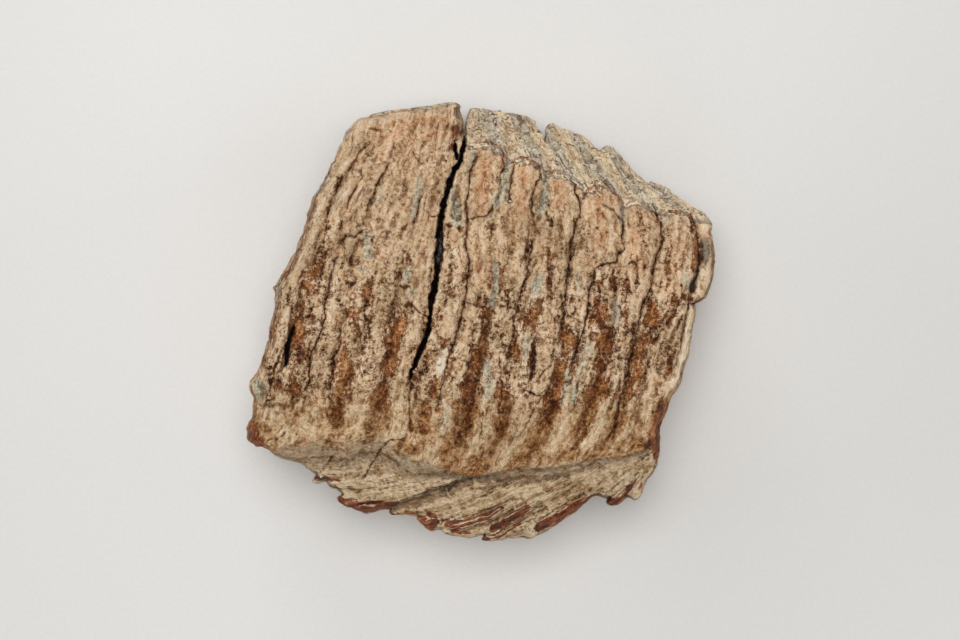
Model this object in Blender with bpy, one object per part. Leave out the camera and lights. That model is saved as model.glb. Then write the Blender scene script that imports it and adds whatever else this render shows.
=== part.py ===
"""Fossil mammoth molar, one solid, lying on its flat cheek side.

Metres, +Z up. +X runs along the row of enamel plates, +Y points to the chewing surface, -Y to the
broken root side, +Z is the upper cheek face. The origin is the centre of the base of the bounding box.
"""

import math

import bmesh
import bpy
import numpy as np
from mathutils import Vector, noise

# ------------------------------------------------------------------ driving dimensions
UNIT = 0.00029          # one drawing unit, in metres
THICKNESS = 0.0715      # cheek face to cheek face
EYE = 0.963             # height of the drawing's centre of projection over the resting plane
DRAWN_AT = 0.035        # height at which the drawing is true to size
SHEET = (480.0, 320.0)  # the drawing's centre, in drawing units, x right and y down
RIB_DEPTH = 0.0021      # depth of the grooves between plates on the upper face
BACK_RIB = 0.0014       # the same on the face it lies on
CRACK_DEPTH = 0.0095    # depth of the open crack
CREASE_STEP = 0.0048    # how far the root band lies under the plate ends
FLUTE = 0.0096          # spacing of the flutes on the two end plates
ROUND = 240             # stations around the outline
TOP_RINGS = 44
SIDE_RINGS = 16
BACK_RINGS = 22
KEEP = 0.19             # share of the faces that the simplifying step keeps
CENTRE = (480.0, 318.0)

# ------------------------------------------------------------------ the drawing, in drawing units
# Outline seen from above, clockwise from the upper left corner.
OUTLINE = [
    (343, 140), (346, 132), (358, 119), (380, 112), (410, 108), (440, 103.5), (456, 102), (463, 104),
    (473, 106), (500, 109), (520, 114.5), (535, 121), (541, 131), (549, 124.5), (565, 129), (587, 137),
    (598, 149), (608, 145), (624, 160), (638, 175), (650, 182), (665, 185), (682, 199), (705, 210),
    (711, 230), (714, 252), (712, 280), (706, 298), (696, 305), (694, 322), (688, 358), (680, 383),
    (669, 402), (660, 428), (659, 448), (653, 471), (642, 492), (634, 499), (624, 498), (612, 504),
    (600, 496), (590, 498), (575, 511), (547, 530), (525, 538.5), (500, 539.5), (484, 540), (465, 536),
    (445, 533), (433, 530), (418, 519), (400, 513), (380, 510), (365, 512), (345, 505), (338, 494),
    (326, 481), (312, 471), (300, 462), (275, 455), (257, 447), (248, 438), (250, 421), (253, 400),
    (249, 386), (258, 370), (269, 340), (275, 303), (281, 275), (299, 243), (311, 205), (325, 178),
    (337, 153),
]
# Height of the widest level at stations round the outline: (x, y, height in mm).
WIDEST = [
    (345, 130, 58), (400, 108, 61), (456, 102, 61), (470, 106, 12), (535, 121, 11), (600, 150, 11),
    (650, 182, 12), (700, 208, 16), (714, 252, 30), (706, 298, 34), (690, 340, 36), (672, 400, 34),
    (655, 465, 31), (620, 503, 29), (560, 522, 27), (490, 540, 27), (400, 514, 30), (335, 490, 33),
    (270, 453, 34), (248, 435, 36), (252, 390, 38), (270, 330, 40), (300, 240, 42), (330, 165, 50),
]
# Grooves between plates on the upper face: (depth as a share of RIB_DEPTH, half width, points).
GROOVES = [
    (0.8, 6, [(362, 150), (342, 182), (320, 235), (298, 305), (286, 355), (268, 400), (258, 440)]),
    (0.8, 6, [(386, 160), (367, 207), (353, 260), (334, 350), (310, 390), (296, 440)]),
    (0.7, 6, [(404, 180), (398, 240), (380, 290), (352, 365), (340, 420), (330, 450)]),
    (0.8, 7, [(428, 160), (418, 208), (402, 270), (390, 345), (378, 420), (366, 455)]),
    (0.8, 7, [(455, 160), (440, 230), (430, 310), (420, 370), (425, 420), (410, 465)]),
    (0.8, 6, [(476, 158), (466, 235), (463, 310), (443, 380), (437, 410)]),
    (0.8, 7, [(503, 150), (502, 180), (490, 230), (494, 305), (480, 360), (466, 420), (452, 468)]),
    (0.8, 7, [(540, 165), (530, 240), (514, 320), (508, 390), (503, 425), (490, 470)]),
    (0.9, 7, [(570, 172), (577, 220), (566, 290), (560, 370), (547, 420), (530, 465)]),
    (0.8, 7, [(613, 190), (618, 255), (613, 325), (600, 380), (583, 422), (562, 462)]),
    (0.8, 6, [(655, 212), (655, 260), (637, 330), (624, 390), (615, 425), (595, 456)]),
    (0.6, 6, [(688, 225), (686, 285), (662, 340), (650, 400), (640, 448)]),
]
# Edge between the upper face and the chewing surface, and the crease over the root band.
CHEWING_EDGE = [
    (458, 138), (470, 143), (503, 150), (540, 165), (575, 180), (613, 188), (628, 200), (652, 205),
    (668, 213), (697, 222), (720, 228),
]
CREASE = [
    (240, 466), (270, 460), (300, 455), (330, 452), (360, 450), (380, 450), (405, 468), (440, 472),
    (470, 477), (500, 474), (520, 469), (550, 470), (600, 459), (640, 452), (670, 444),
]
# Centre line of the open crack: (x, y, half width).
CRACK = [
    (465, 92, 9.5), (464.5, 106, 5.6), (462.5, 131, 4.0), (461.5, 134, 3.6), (455, 165, 3.4), (446, 200, 3.2),
    (438, 240, 4.2), (435, 285, 2.6), (429.5, 318, 1.4), (421, 350, 2.0), (411, 378, 0.7),
]


# ------------------------------------------------------------------ functions on the drawing
def place(x, y, z):
    """The point at height z (metres) that the drawing shows at x, y."""
    k = UNIT * (EYE - z) / (EYE - DRAWN_AT)
    return Vector(((x - SHEET[0]) * k, (SHEET[1] - y) * k, z))


def smooth(a, b, v):
    t = min(1.0, max(0.0, (v - a) / (b - a)))
    return t * t * (3 - 2 * t)


def along(points, x):
    """The y of a line of points at x."""
    return float(np.interp(x, [p[0] for p in points], [p[1] for p in points]))


def distance(points, x, y):
    best = 1e9
    for (ax, ay), (bx, by) in zip(points, points[1:]):
        dx, dy = bx - ax, by - ay
        t = min(1.0, max(0.0, ((x - ax) * dx + (y - ay) * dy) / (dx * dx + dy * dy)))
        best = min(best, math.hypot(x - ax - t * dx, y - ay - t * dy))
    return best


def reach(angle):
    """Distance from the centre to the outline in one direction."""
    c, s = math.cos(angle), math.sin(angle)
    found = 0.0
    for (ax, ay), (bx, by) in zip(OUTLINE, OUTLINE[1:] + OUTLINE[:1]):
        ex, ey = bx - ax, by - ay
        det = ex * s - ey * c
        if abs(det) < 1e-9:
            continue
        px, py = ax - CENTRE[0], ay - CENTRE[1]
        r = (ex * py - ey * px) / det
        t = (c * py - s * px) / det
        if r > 0 and -1e-6 <= t <= 1 + 1e-6:
            found = max(found, r)
    return found


def widest(x, y):
    """Height of the widest level near an outline point, blended from the nearest stations."""
    weights = [(1.0 / (math.hypot(x - a, y - b) + 6.0) ** 3, h) for a, b, h in WIDEST]
    return sum(w * h for w, h in weights) / sum(w for w, _ in weights) * 0.001


def plate_phase(x, y):
    """Runs up by one from one plate to the next, for the sides and the back."""
    return (x + 0.30 * (y - 140.0)) / 39.0


def plate_wave(x, y, sharp):
    """One on a plate and zero between two plates."""
    return (0.5 - 0.5 * math.cos(2 * math.pi * plate_phase(x, y))) ** sharp


def upper(x, y, edge):
    """Height of the upper side at x, y. edge is the distance in from the outline."""
    u, v = (x - 475.0) / 235.0, (y - 300.0) / 190.0
    face = THICKNESS - 0.0012 - 0.0055 * u * u - 0.0035 * v * v
    groove = 0.0
    lower = 0.65 + 0.6 * smooth(330, 430, y)
    for share, half, points in GROOVES:
        d = distance(points, x, y)
        if d < 4 * half:
            groove = max(groove, share * math.exp(-((d / half) ** 2) * 0.7))
    face -= RIB_DEPTH * groove * lower
    face += 0.0005 * noise.noise(Vector((x / 22.0, y / 45.0, 3.1)))
    below = y - along(CREASE, x)
    if below > -6:  # the root band
        face -= CREASE_STEP * smooth(-6, 5, below) + 0.00030 * max(0.0, below)
        slant = plate_wave(x + 0.9 * below, y, 0.8)
        face -= 0.0013 * (1.0 - slant) * smooth(4, 22, below)
    if x > 458:  # the chewing surface
        above = along(CHEWING_EDGE, x) - y
        face -= 0.0026 * smooth(-14, 0, above)
        face -= 0.0022 * (1.0 - plate_wave(x, y, 0.6)) * smooth(-10, 6, above)
    return face


def base(x, y, inner):
    """Height of the side it lies on. inner runs from 0 at its edge to 1."""
    z = -0.0008 + BACK_RIB * (1.0 - plate_wave(x, y, 1.0)) ** 1.5 * 1.6
    z += 0.0055 * (1.0 - smooth(0.0, 0.34, inner))
    return z + 0.0004 * noise.noise(Vector((x / 30.0, y / 50.0, 8.7)))


def station(i):
    angle = 2 * math.pi * i / ROUND
    r = reach(angle)
    return CENTRE[0] + r * math.cos(angle), CENTRE[1] + r * math.sin(angle)


def crown_rings():
    """Rings of points from the middle of the upper face out to the widest level."""
    edge = [station(i) for i in range(ROUND)]
    rings = []
    for k in range(1, TOP_RINGS + 1):
        t = 1.0 - (1.0 - k / TOP_RINGS) ** 1.45
        ring = []
        for ex, ey in edge:
            x, y = CENTRE[0] + t * (ex - CENTRE[0]), CENTRE[1] + t * (ey - CENTRE[1])
            z = upper(x, y, 0)
            rim = widest(ex, ey)
            away = math.hypot(ex - x, ey - y)
            if ex > 464 and ey < 215:  # the chewing surface falls from its edge to the rim
                drop = along(CHEWING_EDGE, x) - y
                full = max(6.0, along(CHEWING_EDGE, ex) - ey)
                f = min(1.0, max(0.0, drop / full))
                fall = f ** 0.9
            elif ey > 440:  # the root band
                span = 46.0 if 330 < ex < 640 else 26.0
                fall = max(0.0, 1.0 - away / span) ** 1.6
            elif ex > 600:
                fall = max(0.0, 1.0 - away / 17.0) ** 1.5
            elif ex < 340:
                fall = max(0.0, 1.0 - away / 20.0) ** 2.0
            else:
                fall = max(0.0, 1.0 - away / 9.0) ** 2.0
            if k == TOP_RINGS:
                fall = 1.0
            ring.append((x, y, z + (rim - z) * fall))
        rings.append(ring)
    return rings


def skirt_rings():
    """Rings from the widest level down to the edge of the side it lies on."""
    rings = []
    for k in range(1, SIDE_RINGS + 1):
        v = k / SIDE_RINGS
        ring = []
        for i in range(ROUND):
            x, y = station(i)
            top = widest(x, y)
            deep = 0.0052
            z = top + (deep - top) * v
            upright = (1.0 - smooth(150, 185, y)) * (1.0 - smooth(468, 490, x))
            tuck = (25.0 - 20.0 * upright) * (1.0 - math.cos(v * math.pi / 2)) * smooth(0.005, 0.030, top - deep)
            tuck += 6.0 * v
            bulge = math.sin(v * math.pi) ** 0.6
            root, chewing = smooth(440, 490, y), 1.0 - smooth(150, 215, y)
            lump = noise.noise(Vector((x / 26.0, y / 26.0, z * 110.0)))
            tuck += (10.0 * (1.0 - plate_wave(x, y, 0.55)) + 5.0 * lump) * root * bulge
            tuck += 5.0 * (1.0 - plate_wave(x, y, 0.5)) * chewing * bulge
            flute = 0.5 - 0.5 * math.cos(2 * math.pi * z / FLUTE + y / 60.0)
            tuck += (5.0 * flute ** 2 + 2.0 * lump) * (1.0 - root) * (1.0 - chewing) * bulge
            r = math.hypot(x - CENTRE[0], y - CENTRE[1])
            q = max(0.0, r - tuck) / r
            ring.append((CENTRE[0] + q * (x - CENTRE[0]), CENTRE[1] + q * (y - CENTRE[1]), z))
        rings.append(ring)
    return rings


def back_rings(edge):
    rings = []
    for k in range(1, BACK_RINGS):
        t = 1.0 - k / BACK_RINGS
        ring = []
        for x0, y0, z0 in edge:
            x, y = CENTRE[0] + t * (x0 - CENTRE[0]), CENTRE[1] + t * (y0 - CENTRE[1])
            ring.append((x, y, base(x, y, 1.0 - t)))
        rings.append(ring)
    return rings


# ------------------------------------------------------------------ meshes
def loft(name, rings, first, last):
    """Bridges rings of points into one closed skin with a point at each end."""
    bm = bmesh.new()
    loops = [[bm.verts.new(place(*p)) for p in ring] for ring in rings]
    for ring in loops:
        for a, b in zip(ring, ring[1:] + ring[:1]):
            bm.edges.new((a, b))
    for a, b in zip(loops, loops[1:]):
        for i in range(len(a)):
            j = (i + 1) % len(a)
            bm.faces.new((a[i], a[j], b[j], b[i]))
    for ring, tip in ((loops[0], first), (loops[-1], last)):
        v = bm.verts.new(place(*tip))
        for i in range(len(ring)):
            bm.faces.new((v, ring[i], ring[(i + 1) % len(ring)]))
    bmesh.ops.recalc_face_normals(bm, faces=bm.faces[:])
    mesh = bpy.data.meshes.new(name)
    bm.to_mesh(mesh)
    bm.free()
    thing = bpy.data.objects.new(name, mesh)
    bpy.context.scene.collection.objects.link(thing)
    return thing


def wedge(name, line, low, high):
    """A closed cutter that follows a line, wide at the top and narrow below."""
    bm = bmesh.new()
    rows = []
    for n, (x, y, half) in enumerate(line):
        ax, ay, _ = line[max(0, n - 1)]
        bx, by, _ = line[min(len(line) - 1, n + 1)]
        dx, dy = bx - ax, by - ay
        size = math.hypot(dx, dy)
        nx, ny = -dy / size, dx / size
        floor = low(x, y)
        foot = half * (1.0 if floor < 0 else 0.45)  # it stays wide where it goes right through
        rows.append([
            bm.verts.new(place(x + nx * half * 1.25, y + ny * half * 1.25, high)),
            bm.verts.new(place(x - nx * half * 1.25, y - ny * half * 1.25, high)),
            bm.verts.new(place(x - nx * foot, y - ny * foot, floor)),
            bm.verts.new(place(x + nx * foot, y + ny * foot, floor)),
        ])
    for a, b in zip(rows, rows[1:]):
        for i in range(4):
            j = (i + 1) % 4
            bm.faces.new((a[i], a[j], b[j], b[i]))
    bm.faces.new(rows[0])
    bm.faces.new(list(reversed(rows[-1])))
    bmesh.ops.recalc_face_normals(bm, faces=bm.faces[:])
    mesh = bpy.data.meshes.new(name)
    bm.to_mesh(mesh)
    bm.free()
    return guide(bpy.data.objects.new(name, mesh))


def crack_floor(x, y):
    """The crack parts the edge right through at its open end, and then runs out into the face."""
    if y < 132:
        return -0.01
    return THICKNESS - 0.004 - CRACK_DEPTH * (1.0 - smooth(250, 385, y) * 0.75)


def guide(thing):
    bpy.context.scene.collection.objects.link(thing)
    thing.hide_render = True
    thing.display_type = "WIRE"
    return thing


def cut(thing, cutter):
    m = thing.modifiers.new("cut_" + cutter.name, "BOOLEAN")
    m.operation = "DIFFERENCE"
    m.solver = "EXACT"
    m.object = cutter


def settle(thing):
    """Applies the modifiers and stands the result on the origin by the middle of its box."""
    graph = bpy.context.evaluated_depsgraph_get()
    made = bpy.data.meshes.new_from_object(thing.evaluated_get(graph))
    thing.modifiers.clear()
    thing.data = made
    co = np.empty(len(made.vertices) * 3)
    made.vertices.foreach_get("co", co)
    co = co.reshape(-1, 3)
    middle = (co.min(0) + co.max(0)) / 2
    co -= (middle[0], middle[1], co[:, 2].min())
    made.vertices.foreach_set("co", co.ravel())
    made.update()
    return middle


def fossil_finish():
    mat = bpy.data.materials.new("fossil_cement_and_enamel")
    mat.use_nodes = True
    shader = mat.node_tree.nodes["Principled BSDF"]
    shader.inputs["Base Color"].default_value = (0.36, 0.235, 0.145, 1.0)
    shader.inputs["Roughness"].default_value = 0.72
    shader.inputs["Metallic"].default_value = 0.0
    return mat


def main():
    for old in list(bpy.data.objects):
        bpy.data.objects.remove(old, do_unlink=True)

    crown = crown_rings()
    skirt = skirt_rings()
    rings = crown + skirt + back_rings(skirt[-1])
    cx, cy = CENTRE
    tooth = loft("tooth", rings, (cx, cy, upper(cx, cy, 0)), (cx, cy, base(cx, cy, 1.0)))

    thin = tooth.modifiers.new("simplify", "DECIMATE")
    thin.decimate_type = "COLLAPSE"
    thin.ratio = KEEP
    thin.use_collapse_triangulate = True
    cut(tooth, wedge("crack_cutter", CRACK, crack_floor, 0.09))

    bm = bmesh.new()
    bmesh.ops.create_cube(bm, size=1.0)
    bmesh.ops.scale(bm, vec=(0.3, 0.3, 0.02), verts=bm.verts[:])
    bmesh.ops.translate(bm, vec=(0.0, 0.0, -0.01), verts=bm.verts[:])
    mesh = bpy.data.meshes.new("rest_cutter")
    bm.to_mesh(mesh)
    bm.free()
    cut(tooth, guide(bpy.data.objects.new("rest_cutter", mesh)))

    settle(tooth)
    tooth.data.materials.clear()
    tooth.data.materials.append(fossil_finish())
    tooth.data.shade_smooth()


main()
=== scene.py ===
"""Fossil mammoth molar: fine surface, finish, floor, light and camera.

The tooth is drawn on a sheet as it is seen from straight above, in drawing units (x right, y down), and
heights are in millimetres over the surface that it lies on. A field of solid and void is built over the
sheet, meshed, and carried to world space by the central projection that the sheet is drawn in.
"""

import math

import bpy
import numpy as np
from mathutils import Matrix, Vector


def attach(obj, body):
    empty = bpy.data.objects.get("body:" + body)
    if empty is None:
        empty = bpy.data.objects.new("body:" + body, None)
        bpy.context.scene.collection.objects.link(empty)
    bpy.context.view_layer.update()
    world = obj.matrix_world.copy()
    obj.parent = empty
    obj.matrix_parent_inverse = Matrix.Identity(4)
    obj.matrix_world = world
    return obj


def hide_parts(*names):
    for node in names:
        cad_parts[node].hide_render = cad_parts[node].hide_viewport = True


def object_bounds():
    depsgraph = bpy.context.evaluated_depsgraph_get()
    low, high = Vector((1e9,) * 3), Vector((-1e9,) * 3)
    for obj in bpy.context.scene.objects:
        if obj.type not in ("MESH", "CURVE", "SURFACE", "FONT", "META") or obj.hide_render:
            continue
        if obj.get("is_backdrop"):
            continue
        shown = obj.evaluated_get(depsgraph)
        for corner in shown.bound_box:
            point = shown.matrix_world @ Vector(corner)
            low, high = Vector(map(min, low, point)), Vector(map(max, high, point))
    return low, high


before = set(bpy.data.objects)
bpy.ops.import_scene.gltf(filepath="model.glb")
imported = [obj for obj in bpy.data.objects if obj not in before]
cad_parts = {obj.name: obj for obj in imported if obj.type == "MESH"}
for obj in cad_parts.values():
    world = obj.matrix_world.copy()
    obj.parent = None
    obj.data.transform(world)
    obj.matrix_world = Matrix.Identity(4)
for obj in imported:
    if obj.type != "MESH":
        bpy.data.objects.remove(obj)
CAD_LO, CAD_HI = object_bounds()

# ------------------------------------------------------------------ sizes
UNIT = 0.29  # millimetres to one drawing unit, at the height DRAWN_AT
EYE = 963.0  # height of the centre of projection
DRAWN_AT = 35.0
SHEET = (480.0, 320.0)
THICK = 71.5
MAX_TRIANGLES = 196000
F = np.float32


# ------------------------------------------------------------------ noise
def _mix(ix, iy, iz, seed):
    h = ix.astype(np.uint32) * np.uint32(0x8DA6B343)
    h ^= iy.astype(np.uint32) * np.uint32(0xD8163841)
    h ^= iz.astype(np.uint32) * np.uint32(0xCB1AB31F)
    h ^= np.uint32((seed * 0x9E3779B9) & 0xFFFFFFFF)
    h ^= h >> np.uint32(15)
    h *= np.uint32(0x2C1B3C6D)
    h ^= h >> np.uint32(12)
    h *= np.uint32(0x297A2D39)
    h ^= h >> np.uint32(15)
    return h


def noise3(x, y, z, seed=0):
    """Gradient noise from about -1 to 1."""
    x, y, z = np.broadcast_arrays(np.asarray(x, F), np.asarray(y, F), np.asarray(z, F))
    fx, fy, fz = np.floor(x), np.floor(y), np.floor(z)
    ix, iy, iz = fx.astype(np.int32), fy.astype(np.int32), fz.astype(np.int32)
    dx, dy, dz = x - fx, y - fy, z - fz
    sx, sy, sz = (t * t * t * (t * (t * 6 - 15) + 10) for t in (dx, dy, dz))
    total = np.zeros(x.shape, F)
    for cx in (0, 1):
        wx = sx if cx else 1 - sx
        for cy in (0, 1):
            wy = sy if cy else 1 - sy
            for cz in (0, 1):
                wz = sz if cz else 1 - sz
                h = _mix(ix + cx, iy + cy, iz + cz, seed)
                gx = (h & np.uint32(1023)).astype(F) / 511.5 - 1
                gy = ((h >> np.uint32(10)) & np.uint32(1023)).astype(F) / 511.5 - 1
                gz = ((h >> np.uint32(20)) & np.uint32(1023)).astype(F) / 511.5 - 1
                total += wx * wy * wz * (gx * (dx - cx) + gy * (dy - cy) + gz * (dz - cz))
    return total * 1.35


def noise2(x, y, seed=0):
    x, y = np.broadcast_arrays(np.asarray(x, F), np.asarray(y, F))
    fx, fy = np.floor(x), np.floor(y)
    ix, iy = fx.astype(np.int32), fy.astype(np.int32)
    dx, dy = x - fx, y - fy
    sx, sy = (t * t * t * (t * (t * 6 - 15) + 10) for t in (dx, dy))
    zero = np.zeros(x.shape, np.int32)
    total = np.zeros(x.shape, F)
    for cx in (0, 1):
        wx = sx if cx else 1 - sx
        for cy in (0, 1):
            wy = sy if cy else 1 - sy
            h = _mix(ix + cx, iy + cy, zero, seed)
            gx = (h & np.uint32(65535)).astype(F) / 32767.5 - 1
            gy = (h >> np.uint32(16)).astype(F) / 32767.5 - 1
            total += wx * wy * (gx * (dx - cx) + gy * (dy - cy))
    return total * 1.5


def fbm2(x, y, seed=0, octaves=3, gain=0.5):
    total, a, s = 0.0, 1.0, 1.0
    for o in range(octaves):
        total = total + a * noise2(x * s, y * s, seed + 17 * o)
        a *= gain
        s *= 2.03
    return total


def fbm3(x, y, z, seed=0, octaves=3, gain=0.5):
    total, a, s = 0.0, 1.0, 1.0
    for o in range(octaves):
        total = total + a * noise3(x * s, y * s, z * s, seed + 17 * o)
        a *= gain
        s *= 2.03
    return total


def cells2(x, y, seed=0):
    """Distances to the nearest and second nearest of a jittered set of points, and the nearest one's number."""
    fx, fy = np.floor(x), np.floor(y)
    ix, iy = fx.astype(np.int32), fy.astype(np.int32)
    zero = np.zeros(x.shape, np.int32)
    d1 = np.full(x.shape, 9.0, F)
    d2 = np.full(x.shape, 9.0, F)
    tag = np.zeros(x.shape, F)
    for cx in (-1, 0, 1):
        for cy in (-1, 0, 1):
            h = _mix(ix + cx, iy + cy, zero, seed)
            px = fx + cx + 0.5 + 0.86 * ((h & np.uint32(65535)).astype(F) / 65535 - 0.5)
            py = fy + cy + 0.5 + 0.86 * ((h >> np.uint32(16)).astype(F) / 65535 - 0.5)
            d = np.hypot(px - x, py - y)
            near = d < d1
            d2 = np.where(near, d1, np.minimum(d2, d))
            tag = np.where(near, ((h >> np.uint32(7)) & np.uint32(1023)).astype(F) / 1023, tag)
            d1 = np.where(near, d, d1)
    return d1, d2, tag


def smooth(a, b, v):
    t = np.clip((v - a) / (b - a), 0, 1)
    return t * t * (3 - 2 * t)


def smax(a, b, k):
    """The larger of two fields, rounded over k."""
    h = np.maximum(k - np.abs(a - b), 0) / k
    return np.maximum(a, b) + h * h * k * 0.25


# ------------------------------------------------------------------ the sheet
STEP = 0.75
X0, X1, Y0, Y1 = 233.0, 728.0, 90.0, 556.0
NX, NY = int((X1 - X0) / STEP) + 1, int((Y1 - Y0) / STEP) + 1
X, Y = np.meshgrid(
    (X0 + STEP * np.arange(NX)).astype(F), (Y0 + STEP * np.arange(NY)).astype(F)
)
# every drawn line wanders a little
XW = X + 1.5 * noise2(X / 13, Y / 13, 1) + 0.9 * noise2(X / 4.5, Y / 4.5, 2)
YW = Y + 1.5 * noise2(X / 13, Y / 13, 3) + 0.9 * noise2(X / 4.5, Y / 4.5, 4)
# and a crack is more jagged than a stain
XJ = X + 1.9 * noise2(X / 9, Y / 9, 5) + 1.6 * noise2(X / 3.4, Y / 3.4, 6)
YJ = Y + 1.3 * noise2(X / 9, Y / 9, 7) + 1.3 * noise2(X / 3.4, Y / 3.4, 8)


def sample(field, x, y):
    """A field of the sheet at points, blended between its nodes."""
    gx = np.clip((np.asarray(x) - X0) / STEP, 0, NX - 1.001)
    gy = np.clip((np.asarray(y) - Y0) / STEP, 0, NY - 1.001)
    ix, iy = gx.astype(int), gy.astype(int)
    tx, ty = (gx - ix).astype(F), (gy - iy).astype(F)
    return (
        field[iy, ix] * (1 - tx) * (1 - ty)
        + field[iy, ix + 1] * tx * (1 - ty)
        + field[iy + 1, ix] * (1 - tx) * ty
        + field[iy + 1, ix + 1] * tx * ty
    )


def blur(field, times=1):
    for _ in range(times):
        p = np.pad(field, 1, mode="edge")
        field = (p[:-2, 1:-1] + p[2:, 1:-1] + p[1:-1, :-2] + p[1:-1, 2:] + 2 * field) / 6
    return field


def window(x0, y0, x1, y1, margin):
    i0 = max(0, int((min(x0, x1) - margin - X0) / STEP))
    i1 = min(NX, int((max(x0, x1) + margin - X0) / STEP) + 2)
    j0 = max(0, int((min(y0, y1) - margin - Y0) / STEP))
    j1 = min(NY, int((max(y0, y1) + margin - Y0) / STEP) + 2)
    return slice(j0, j1), slice(i0, i1)


def soft_edge(q):
    return np.exp(-(q * q) * 1.1)


def hard_edge(q):
    return 1 - smooth(0.55, 1.25, q)


def draw(field, points, edge=soft_edge, reach=2.6, jagged=False):
    """Draws a line of (x, y, half width, strength) into a field, keeping the stronger value."""
    xs, ys = (XJ, YJ) if jagged else (XW, YW)
    if len(points) == 1:
        points = points * 2
    for (ax, ay, aw, av), (bx, by, bw, bv) in zip(points, points[1:]):
        w = window(ax, ay, bx, by, reach * max(aw, bw) + 4)
        x, y = xs[w], ys[w]
        dx, dy = bx - ax, by - ay
        t = np.clip(((x - ax) * dx + (y - ay) * dy) / max(dx * dx + dy * dy, 1e-6), 0, 1)
        d = np.hypot(x - ax - t * dx, y - ay - t * dy)
        field[w] = np.maximum(field[w], (av + (bv - av) * t) * edge(d / (aw + (bw - aw) * t)))
    return field


def step_down(field, points, height, run):
    """A ledge along a line: the ground past it, down the sheet, is lower and comes back up over the run."""
    near = np.full(field.shape, 1e6, F)
    signed = np.zeros(field.shape, F)
    for (ax, ay), (bx, by) in zip(points, points[1:]):
        w = window(ax, ay, bx, by, run + 6)
        x, y = XJ[w], YJ[w]
        dx, dy = bx - ax, by - ay
        length = math.hypot(dx, dy)
        t = ((x - ax) * dx + (y - ay) * dy) / length**2
        tc = np.clip(t, 0, 1)
        d = np.hypot(x - ax - tc * dx, y - ay - tc * dy)
        side = ((y - ay) * dx - (x - ax) * dy) / length
        side = np.where(dx < 0, -side, side)
        taper = smooth(-0.02, 0.02, 0.5 - np.abs(tc - t) * 40)
        closer = d < near[w]
        near[w] = np.where(closer, d, near[w])
        signed[w] = np.where(closer, np.where(side > 0, d, -d) * taper, signed[w])
    drop = smooth(-0.2, 1.8, signed) * (1 - smooth(0.25 * run, run, signed)) * (near < run)
    field += height * drop
    return field


# ------------------------------------------------------------------ the drawing
OUTLINE = [
    (346, 132), (352, 126), (358, 119), (370, 116), (380, 112.5), (395, 110.5), (410, 108.5), (420, 107),
    (430, 106), (440, 103.5), (450, 102.3), (455, 102.3), (459, 104), (461, 107), (459, 110), (459, 113),
    (462, 117), (463, 120), (463, 127), (463.6, 133), (464.4, 133), (465, 125), (467, 118), (468, 114),
    (471, 108), (473, 106), (478, 106), (485, 107.5), (500, 109), (512, 112), (520, 114.5), (526, 115),
    (531, 118), (535, 121), (535.5, 124), (537, 129), (541, 132), (544, 136), (544.6, 142), (545.6, 142),
    (546, 136), (545, 130), (546, 127), (549, 124.5), (553, 123), (557, 125), (560, 128), (565, 129),
    (570, 129), (575, 132), (580, 133.5), (585, 136), (587, 139), (590, 142), (592, 146), (597, 149),
    (600, 153), (601, 149), (604, 146), (607, 144.5), (611, 146), (616, 150), (620, 155), (624, 160),
    (629, 164), (632, 170), (638, 175), (643, 180), (649, 184.5), (650, 180.5), (654, 181.5), (659, 183.5),
    (663, 184), (668, 186), (675, 193), (682, 199), (690, 204), (697, 208), (701, 209.5), (705, 210),
    (706, 213), (708, 217), (710, 220), (712, 224), (711, 232), (713, 240), (714, 250), (714, 260),
    (713, 270), (712, 280), (709, 290), (706, 298), (700, 302), (695, 304), (696, 310), (694, 322),
    (692, 335), (690, 345), (688, 358), (685, 365), (682, 375), (680, 383), (676, 390), (672, 395),
    (669, 402), (668, 408), (666, 412), (663, 420), (660, 428), (659.5, 433), (660, 440), (659, 448),
    (658, 455), (656, 463), (653, 471), (650, 476), (647, 480), (644, 486), (642, 492), (639, 496),
    (635, 499), (632, 499), (629, 497), (626, 496), (622, 500), (618, 504), (612, 505), (609, 503),
    (608, 501), (611, 499), (605, 497), (600, 495), (592, 495), (589, 498), (585, 502), (575, 511),
    (565, 517), (555, 524), (547, 530), (540, 533), (530, 538), (525, 538.5), (519, 537), (510, 537.5),
    (500, 539.5), (490, 540), (483, 539), (484, 536), (470, 537), (460, 536), (450, 534), (445, 533),
    (441, 528), (435, 529), (431, 530), (427, 527), (421, 522), (418, 519), (420, 515.5), (412, 514.5),
    (405, 513.5), (392, 514), (391, 512), (394, 510), (390, 508), (385, 508.5), (375, 511), (367, 513),
    (362, 512), (358, 508), (352, 505.5), (347, 505.5), (342, 503), (338, 499.5), (340, 496), (342, 494),
    (340, 491), (335, 488), (331, 487), (328, 484.5), (330, 483), (328, 481), (325, 479.5), (321, 481),
    (317, 482), (314, 480.5), (315, 478), (317, 474), (311, 469), (307, 467.5), (305, 464), (300, 462),
    (290, 460), (282, 458), (275, 455), (268, 450), (262, 447), (257, 447), (252, 444), (248, 440),
    (247.5, 433), (247, 427), (250, 421), (253, 416), (253, 405), (254, 398), (250, 392), (249, 387),
    (250, 381), (254, 376), (258, 370), (261, 362), (265, 352), (269, 340), (270, 330), (272, 320),
    (274, 312), (275, 303), (274, 300), (275.5, 295), (275, 290.5), (272.6, 289), (272.8, 286.6), (276, 286),
    (278, 282), (281, 275), (285, 270),
    (289, 263), (292, 258), (296, 252), (299, 243), (303, 232), (306, 222), (308, 213), (311, 205),
    (312, 200), (316, 193), (320, 187), (325, 178), (330, 168), (333, 162), (336, 156), (340, 148),
    (343, 140),
]
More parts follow.
